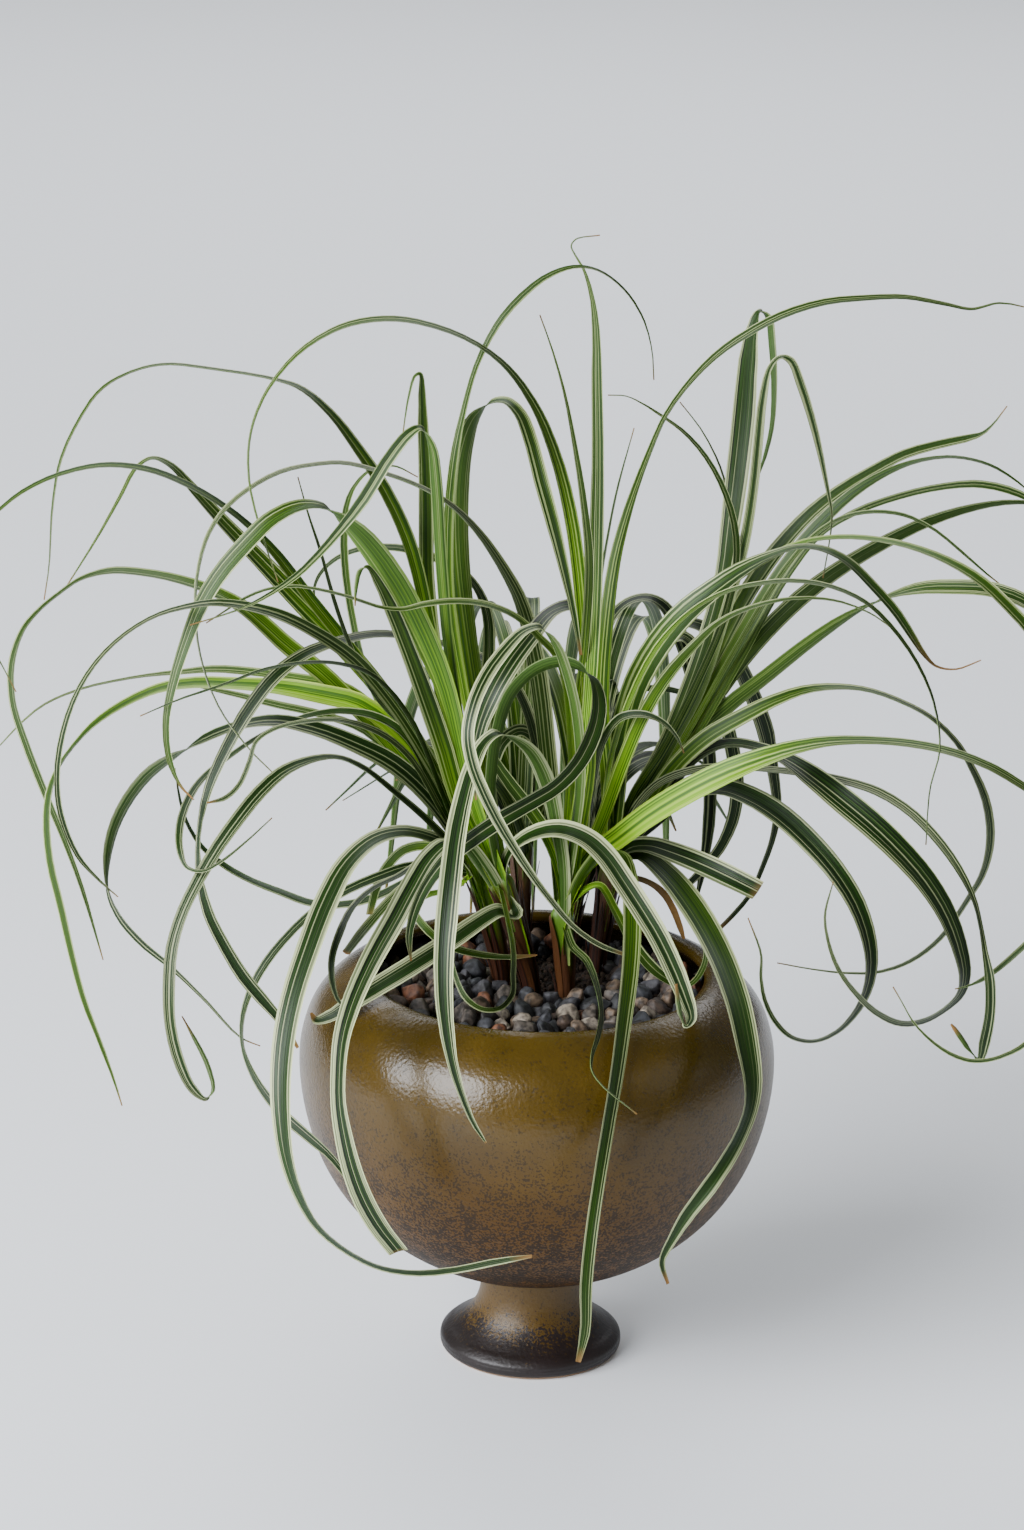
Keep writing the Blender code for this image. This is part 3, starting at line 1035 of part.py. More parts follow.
def build_shoots(ribbons):
    """Make each shoot as one solid: its sheath with its leaves rooted in it.

    Where the joined shoot touches itself along an edge, the leaves there move by
    a hair and it is joined again.
    """
    green = add_material("leaf", (0.09, 0.17, 0.03), 0.45)
    for shoot in SHOOTS:
        draw = random.Random(NUDGE_SEEDS[shoot.name])
        mine = [ribbon.solid() for ribbon in ribbons if ribbon.shoot == shoot.name]
        trees = [BVHTree.FromPolygons(*solid) for solid in mine]
        nudges = [Vector(draw.uniform(-NUDGE, NUDGE) for _ in range(3)) for _ in mine]
        for trial in range(UNION_TRIALS):
            base = add_object(shoot.name, *sheath_solid(shoot), green)
            leaves = [add_object("leaf", [place + nudge for place in vertices], faces)
                      for (vertices, faces), nudge in zip(mine, nudges)]
            touches = unite(base, leaves)
            if not touches or trial == UNION_TRIALS - 1:
                break
            bpy.data.objects.remove(base, do_unlink=True)
            for index, tree in enumerate(trees):
                if any(tree.find_nearest(touch, 1.0)[0] for touch in touches):
                    nudges[index] = Vector(draw.uniform(-NUDGE, NUDGE) for _ in range(3))
        print(shoot.name, "joined at trial", trial, "touches left", len(touches))


def main():
    """Build the potted sedge."""
    clear_scene()
    build_pot()
    build_soil()
    build_gravel()
    ribbons = grow()
    crossing = part_leaves(ribbons)
    print("leaves", len(ribbons), "pairs still crossing", crossing)
    build_shoots(ribbons)


main()
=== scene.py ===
"""Potted sedge: fine surfaces and finishes over the CAD frame.

The origin is the centre of the foot's underside, +Z is up and the front is -Y.
Shapes are worked out in millimetres and become metres where meshes are made.
"""
import logging
import math
import random
from dataclasses import dataclass
from enum import Enum

import bmesh
import bpy
from mathutils import Matrix, Vector
from mathutils.bvhtree import BVHTree


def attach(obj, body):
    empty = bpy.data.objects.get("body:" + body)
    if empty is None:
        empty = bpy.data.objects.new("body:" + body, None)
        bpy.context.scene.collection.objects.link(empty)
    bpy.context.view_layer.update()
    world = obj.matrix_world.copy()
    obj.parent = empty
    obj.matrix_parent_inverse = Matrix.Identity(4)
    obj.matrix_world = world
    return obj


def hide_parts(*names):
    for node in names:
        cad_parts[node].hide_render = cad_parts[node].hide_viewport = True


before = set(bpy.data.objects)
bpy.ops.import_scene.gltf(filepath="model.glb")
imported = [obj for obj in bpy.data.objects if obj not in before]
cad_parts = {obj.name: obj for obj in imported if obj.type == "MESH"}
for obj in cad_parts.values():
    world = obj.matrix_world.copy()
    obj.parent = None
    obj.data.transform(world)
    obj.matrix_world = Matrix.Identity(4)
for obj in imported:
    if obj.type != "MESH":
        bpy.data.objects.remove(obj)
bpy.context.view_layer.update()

LOG = logging.getLogger("potted_sedge")
MM = 0.001

# Pot: its turned outline from the foot's edge to the lip, as radius and height
POT_SIDES = 34
POT_OUTSIDE = (
    (30.6, 0.0), (32.0, 1.4), (32.0, 4.6), (30.6, 6.2), (25.5, 9.6), (21.0, 14.2), (18.6, 20.0),
    (18.0, 26.0), (18.8, 31.0), (29.0, 34.6), (45.0, 42.0), (57.0, 50.5), (67.0, 61.0),
    (75.5, 75.0), (81.0, 92.0), (83.0, 108.0), (82.0, 119.0), (78.0, 129.5), (71.0, 137.0),
    (63.5, 141.4), (60.0, 142.2))
POT_INSIDE = (
    (57.6, 141.0), (58.2, 138.6), (64.0, 135.4), (71.0, 129.0), (75.6, 120.0), (77.2, 108.0),
    (75.2, 94.0), (69.8, 78.0), (61.5, 65.0), (50.0, 54.4), (36.0, 47.0), (18.0, 42.0))
POT_FLOOR = 41.0

# Filling: soil, and a ring of gravel on it
GAP = 0.3
SOIL_TOP = 127.0
HOLE_FLOOR = 104.0
HOLE_RADIUS = 5.4
GRAVEL_TOP = 130.6
GRAVEL_OUTER = 64.0
GRAVEL_OPENING = 27.5
GRAVEL_OPENING_CENTRE = (6.0, 27.0)
GRAVEL_SIDES = 32
PEBBLE_STEP = 11.2
PEBBLE_LOW, PEBBLE_HIGH = 4.3, 6.2
PEBBLE_SEED = 11

# Shoots: a round sheath that stands in the soil and leans out to its crown
SHEATH_FOOT = 105.0
SHEATH_RADIUS = 4.6
SHEATH_SIDES = 8

# Leaves: thickness at the keel, width limits, and the taper
LEAF_THICK = 1.1
LEAF_TIP_THICK = 0.7
LEAF_TIP_WIDTH = 1.2
LEAF_LEAST_WIDTH = 3.4
TAPER_START = 0.58
STATION_LENGTH = 66.0
STATION_TURN = math.radians(31.0)

# Clearances between leaves of two shoots, and of a leaf from the pot
PART_STEP = 1.2
PART_REACH = 50.0
PART_MARGIN = 0.9
PART_ROUNDS = 120
PART_PATIENCE = 40
POT_CLEARANCE = 2.6
ROOT_ZONE = 46.0

# Spacing of the fine stations
FINE_LENGTH = 8.0
FINE_TURN = math.radians(7.0)

# Viewpoint that the leaves' outlines are read from: where it stands, its pitch
# and roll in degrees, and its focal length and middle in picture units
VIEW_PLACE = Vector((-10.8, -1385.2, 661.2))
VIEW_PITCH = math.radians(17.8)
VIEW_ROLL = math.radians(1.2)
VIEW_FOCAL = 4250.0
VIEW_MIDDLE = (512.0, 765.0)

SEED = 5


@dataclass(frozen=True)
class Shoot:
    """One leafy shoot: where it stands in plan, where its crown is seen, and how thick."""
    name: str
    plan: tuple
    crown: tuple
    crown_depth: float
    crown_radius: float = 4.2


@dataclass(frozen=True)
class Leaf:
    """One leaf, read from root to tip.

    Each point of the path is across, down and seen width in picture units. A
    width below zero shows the underside. The depths are distances behind the
    pot's axis, in mm, at even steps along the path after the crown. A blunt
    leaf was cut across.
    """
    shoot: str
    depths: tuple
    path: tuple
    blunt: bool = False


SHOOTS = (
    Shoot("shoot_left", (-13.0, 24.0), (478, 868), 20.0, 5.8),
    Shoot("shoot_inner", (-2.5, 11.5), (502, 884), 7.0),
    Shoot("shoot_front", (9.5, 9.5), (562, 916), 7.0),
    Shoot("shoot_right", (21.0, 38.0), (612, 866), 42.0, 6.6),
    Shoot("shoot_back", (9.5, 47.0), (583, 856), 53.0),
    Shoot("shoot_rear_left", (-6.5, 43.0), (522, 850), 54.0),
)

LEFT_LEAVES = (
    Leaf("shoot_left", (28, 12, 22, 30), (
        (470, 825, 9), (447, 730, 12), (428, 620, 13), (410, 545, 14), (385, 490, 13), (360, 452, 11),
        (330, 413, 8), (300, 388, 5), (270, 378, 2), (215, 369, 2), (165, 364, 2), (130, 372, 2),
        (100, 390, 3), (76, 425, 3), (60, 462, 3), (52, 510, 2), (49, 565, 1), (44, 600, 1))),
    Leaf("shoot_left", (30, 36, 34, 30), (
        (455, 820, 12), (420, 755, 16), (380, 690, 18), (335, 638, 20), (300, 602, 20), (262, 562, 17),
        (228, 527, 14), (195, 491, 10), (170, 465, 6), (152, 458, 3), (136, 468, 4), (120, 497, 4),
        (98, 536, 2), (64, 590, 1))),
    Leaf("shoot_left", (24, 2, -8, 4, 26), (
        (450, 815, 10), (410, 735, 12), (355, 655, 12), (305, 592, 12), (276, 554, 10), (250, 527, 6),
        (225, 507, 6), (190, 486, 6), (150, 470, 6), (105, 465, 5), (60, 474, 4), (25, 490, 4),
        (0, 509, 3), (-24, 535, 3), (-36, 570, 3), (-32, 612, 2), (-12, 640, 2), (16, 692, 1))),
    Leaf("shoot_inner", (0, -14, -26, -40), (
        (470, 790, -12), (445, 690, -20), (420, 630, -26), (390, 575, -26), (355, 530, -20),
        (325, 507, 5), (300, 506, 12), (272, 519, 16), (245, 545, 17), (220, 574, 16), (200, 607, 15),
        (186, 642, 12), (174, 680, 9), (166, 722, 7), (169, 758, 6), (180, 785, 3), (194, 800, 1))),
    Leaf("shoot_inner", (6, -10, -26, -44), (
        (470, 780, -9), (450, 660, -11), (441, 560, -12), (436, 480, -12), (431, 443, -8),
        (421, 428, 5), (409, 434, 11), (388, 460, 12), (364, 499, 12), (340, 530, 9), (318, 555, 7),
        (296, 576, 6), (265, 597, 4), (235, 611, 2), (190, 625, 1))),
    Leaf("shoot_inner", (26, 24, 4), (
        (474, 800, 10), (440, 680, 14), (427, 580, 15), (426, 520, 15), (425, 470, 13), (423, 430, 11),
        (422, 398, 8), (420, 374, 4), (415, 376, 3), (408, 400, 2), (402, 440, 1))),
    Leaf("shoot_inner", (22, 14, 0, 6), (
        (489, 800, -14), (480, 720, -18), (468, 640, -20), (459, 560, -22), (458, 500, -22),
        (463, 450, -20), (475, 416, -12), (490, 402, 4), (506, 401, 8), (520, 414, 12), (531, 442, 14),
        (541, 480, 15), (552, 520, 14), (562, 560, 11), (572, 605, 7), (581, 655, 3))),
    Leaf("shoot_inner", (14, 10, 22, 34), (
        (484, 790, 7), (464, 690, 9), (450, 600, 10), (449, 520, 10), (455, 455, 9), (464, 410, 5),
        (475, 370, 5), (488, 341, 6), (503, 317, 7), (522, 296, 7), (546, 277, 6), (573, 267, 4),
        (598, 270, 2), (624, 289, 2), (643, 318, 2), (652, 350, 1), (654, 380, 1))),
    Leaf("shoot_front", (12, 6, -6, -16, -22), (
        (558, 850, 14), (548, 760, 18), (537, 670, 20), (521, 604, 14), (500, 564, 10), (476, 530, 7),
        (452, 506, 4), (425, 489, 3), (390, 475, 3), (345, 463, 3), (310, 465, 3), (280, 472, 4),
        (250, 488, 4), (226, 508, 4), (209, 533, 4), (199, 565, 3), (195, 605, 2), (200, 655, 1),
        (218, 706, 1), (248, 748, 1), (278, 778, 1))),
    Leaf("shoot_inner", (0, -8, -18), (
        (462, 810, 17), (442, 745, 20), (421, 685, 18), (404, 640, 16), (390, 606, 14), (378, 582, 9),
        (367, 567, 4), (360, 571, -5), (356, 588, -4), (355, 606, -1))),
    Leaf("shoot_left", (38, 36, 30), (
        (445, 800, 6), (398, 735, 8), (366, 672, 7), (353, 620, 7), (346, 575, 8), (344, 535, 8),
        (347, 504, 6), (356, 484, 4), (371, 470, 3), (394, 466, 2), (418, 477, 1))),
    Leaf("shoot_inner", (24, 42, 48, 58), (
        (492, 800, 10), (484, 710, 13), (489, 650, 13), (487, 614, 11), (476, 587, 8), (458, 569, 8),
        (430, 556, 9), (400, 548, 8), (365, 548, 6), (337, 558, 5), (320, 574, 4), (314, 590, 3),
        (316, 603, 1))),
    Leaf("shoot_front", (28, 46, 4, -12, -34, -40), (
        (555, 850, 12), (538, 750, 12), (520, 694, 10), (496, 665, 8), (460, 649, 7), (425, 640, 6),
        (380, 634, 8), (340, 641, 9), (305, 654, 12), (276, 675, 14), (249, 709, 14), (228, 745, 12),
        (209, 787, 10), (199, 832, 3), (199, 872, 7), (208, 912, 11), (224, 945, 12), (243, 976, 13),
        (262, 999, 12), (280, 1020, 9), (298, 1048, 3))),
    Leaf("shoot_left", (0, -32, -30, -14, -4), (
        (455, 812, 13), (420, 745, 14), (390, 700, 14), (355, 660, 14), (318, 634, 12), (282, 616, 11),
        (250, 607, 9), (215, 603, 7), (185, 607, 5), (155, 616, 3), (125, 634, 3), (98, 660, 4),
        (77, 693, 5), (63, 733, 6), (57, 775, 6), (61, 815, 6), (78, 856, 5), (98, 879, 3),
        (118, 897, 1))),
    Leaf("shoot_left", (24, 18, 26, 34, 44), (
        (462, 835, 14), (420, 780, 16), (372, 724, 17), (325, 676, 18), (285, 644, 18), (248, 611, 15),
        (215, 592, 11), (180, 580, 9), (145, 573, 8), (110, 571, 7), (80, 579, 3), (58, 594, 2),
        (40, 609, 3), (23, 630, 5), (12, 664, 7), (13, 702, 7), (26, 744, 8), (43, 788, 8),
        (62, 834, 6), (80, 882, 5), (94, 928, 3), (103, 960, 1))),
    Leaf("shoot_left", (38, 46, 44), (
        (455, 830, 8), (405, 745, 9), (350, 690, 10), (300, 678, 9), (255, 672, 9), (215, 669, 8),
        (182, 672, 6), (150, 675, 3), (118, 680, 2), (80, 689, 2), (40, 707, 2), (0, 745, 1),
        (-18, 768, 1))),
    Leaf("shoot_left", (24, 28, 20, 10, 4), (
        (450, 820, 14), (410, 745, 18), (362, 705, 20), (320, 694, 20), (280, 687, 16), (235, 684, 12),
        (195, 683, 12), (158, 689, 10), (122, 705, 8), (94, 724, 6), (73, 746, 2), (58, 768, 3),
        (49, 795, 7), (47, 826, 8), (51, 865, 8), (61, 906, 8), (72, 955, 7), (84, 1000, 6),
        (100, 1042, 5), (114, 1080, 3), (122, 1106, 1))),
    Leaf("shoot_left", (42, 46, 54), (
        (455, 838, 8), (410, 775, 8), (365, 731, 8), (320, 714, 8), (275, 704, 8), (235, 694, 6),
        (205, 688, 3), (188, 685, 1))),
    Leaf("shoot_left", (-6, -40, -34), (
        (445, 800, 5), (410, 718, 5), (372, 675, 4), (335, 663, 3), (300, 663, 3), (262, 670, 3),
        (222, 685, 2), (180, 699, 2), (140, 716, 1))),
    Leaf("shoot_left", (6, 4, 14, 10, -12), (
        (464, 848, 15), (435, 803, 19), (395, 765, 20), (350, 742, 17), (312, 728, 15), (272, 721, 12),
        (235, 727, 8), (202, 740, 11), (172, 757, -11), (147, 776, -12), (125, 805, -12),
        (112, 835, -11), (107, 866, -8), (108, 892, 3), (120, 918, 6), (143, 944, 7), (170, 966, 5),
        (205, 1000, 3), (240, 1037, 2), (260, 1046, 1))),
    Leaf("shoot_left", (-12, -46, -72, -66), (
        (452, 846, 8), (425, 818, 7), (392, 790, 6), (362, 767, 5), (336, 757, 4), (310, 760, 8),
        (284, 771, 12), (260, 792, 14), (238, 819, 14), (216, 850, 13), (197, 883, 12), (182, 914, 11),
        (172, 948, 12), (169, 985, 12), (170, 1022, 11), (178, 1058, 11), (192, 1088, 9),
        (206, 1099, 4), (213, 1090, -4), (207, 1064, -5), (194, 1038, -4), (182, 1016, -1))),
    Leaf("shoot_left", (-20, -58, -84, -92, -94), (
        (458, 852, 10), (432, 838, 12), (402, 832, 12), (373, 840, 16), (346, 865, 20), (325, 905, 24),
        (308, 950, 23), (294, 993, 22), (285, 1035, 22), (281, 1080, 20), (282, 1120, 18),
        (287, 1158, 14), (298, 1193, 10), (316, 1225, 7), (343, 1249, 5), (378, 1267, 5),
        (415, 1273, 6), (455, 1270, 7), (495, 1262, 7), (532, 1256, 3))),
    Leaf("shoot_inner", (-14, -54, -84, -96, -92), (
        (484, 868, -16), (463, 843, -12), (446, 843, 14), (429, 858, 20), (411, 888, 22),
        (394, 920, 23), (377, 950, 22), (362, 980, 20), (350, 1010, 19), (342, 1040, 16),
        (339, 1072, 14), (339, 1103, 14), (344, 1135, 17), (352, 1168, 19), (364, 1200, 20),
        (380, 1228, 19), (399, 1252, 17)), blunt=True),
    Leaf("shoot_front", (-12, -46, -82, -98, -96), (
        (563, 870, -12), (557, 830, -15), (547, 785, -18), (531, 752, -14), (514, 738, -8),
        (498, 733, 8), (484, 743, 12), (472, 768, 16), (463, 800, 18), (456, 835, 20), (451, 875, 21),
        (447, 915, 21), (444, 955, 19), (444, 995, 17), (447, 1030, 14), (453, 1065, 10),
        (462, 1095, 7), (473, 1122, 5), (486, 1143, 2))),
    Leaf("shoot_inner", (-12, -26, -34, -36), (
        (514, 914, 10), (498, 911, 14), (478, 922, 18), (455, 938, 19), (430, 954, 20), (403, 971, 20),
        (375, 988, 19), (350, 1004, 16), (330, 1016, 12), (316, 1020, 8), (311, 1013, 3))),
    Leaf("shoot_left", (14, -8, -36, -44), (
        (452, 862, 5), (425, 861, 5), (398, 876, 5), (372, 889, 5), (352, 908, 6), (340, 932, 8),
        (332, 958, 7), (332, 980, 6), (337, 998, 4), (344, 1008, 2))),
    Leaf("shoot_left", (10, -2, -18, -40, -52), (
        (450, 872, 10), (415, 866, 10), (375, 878, 10), (340, 894, 9), (312, 913, 8), (286, 938, 8),
        (264, 966, 9), (249, 995, 7), (242, 1022, 4), (243, 1048, 3), (254, 1076, 7), (270, 1100, 9),
        (290, 1121, 11), (311, 1139, 10), (331, 1157, 7), (350, 1182, 5), (366, 1210, 2))),
    Leaf("shoot_left", (12, 10, -6, -50, -56), (
        (440, 800, 7), (408, 738, 8), (380, 718, 8), (345, 711, 7), (310, 715, 5), (280, 726, 4),
        (255, 739, 4), (230, 756, 5), (206, 775, 6), (190, 796, 8), (180, 825, 8), (180, 850, 7),
        (187, 867, 4), (202, 871, 3), (222, 861, 3), (248, 840, 2), (272, 818, 1))),
    Leaf("shoot_left", (6, -22, -30, -44), (
        (444, 815, 6), (412, 760, 6), (378, 732, 6), (338, 720, 5), (300, 722, 4), (272, 730, 4),
        (256, 742, 4), (249, 763, 5), (239, 785, 5), (225, 798, 5), (207, 803, 2))),
    Leaf("shoot_rear_left", (66, 88, 104, 100), (
        (500, 850, 8), (460, 850, 9), (410, 880, 9), (360, 902, 8), (315, 904, 8), (280, 892, 8),
        (250, 880, 7), (225, 866, 7), (203, 848, 5), (188, 825, 4), (180, 800, 3), (175, 768, 1))),
    Leaf("shoot_inner", (16, 12, 2), (
        (470, 790, 4), (425, 745, 4), (378, 700, 4), (350, 645, 4), (334, 600, 4), (321, 553, 3),
        (307, 510, 2), (298, 477, 1))),
    Leaf("shoot_left", (26, 22, 8), (
        (462, 862, 9), (430, 846, 10), (404, 850, 10), (386, 868, 10), (376, 890, 9),
        (370, 914, 7)), blunt=True),
    Leaf("shoot_rear_left", (56, 50, 36), (
        (490, 872, 9), (448, 868, 10), (412, 882, 10), (388, 902, 10), (367, 926, 10), (346, 953, 8))),
)

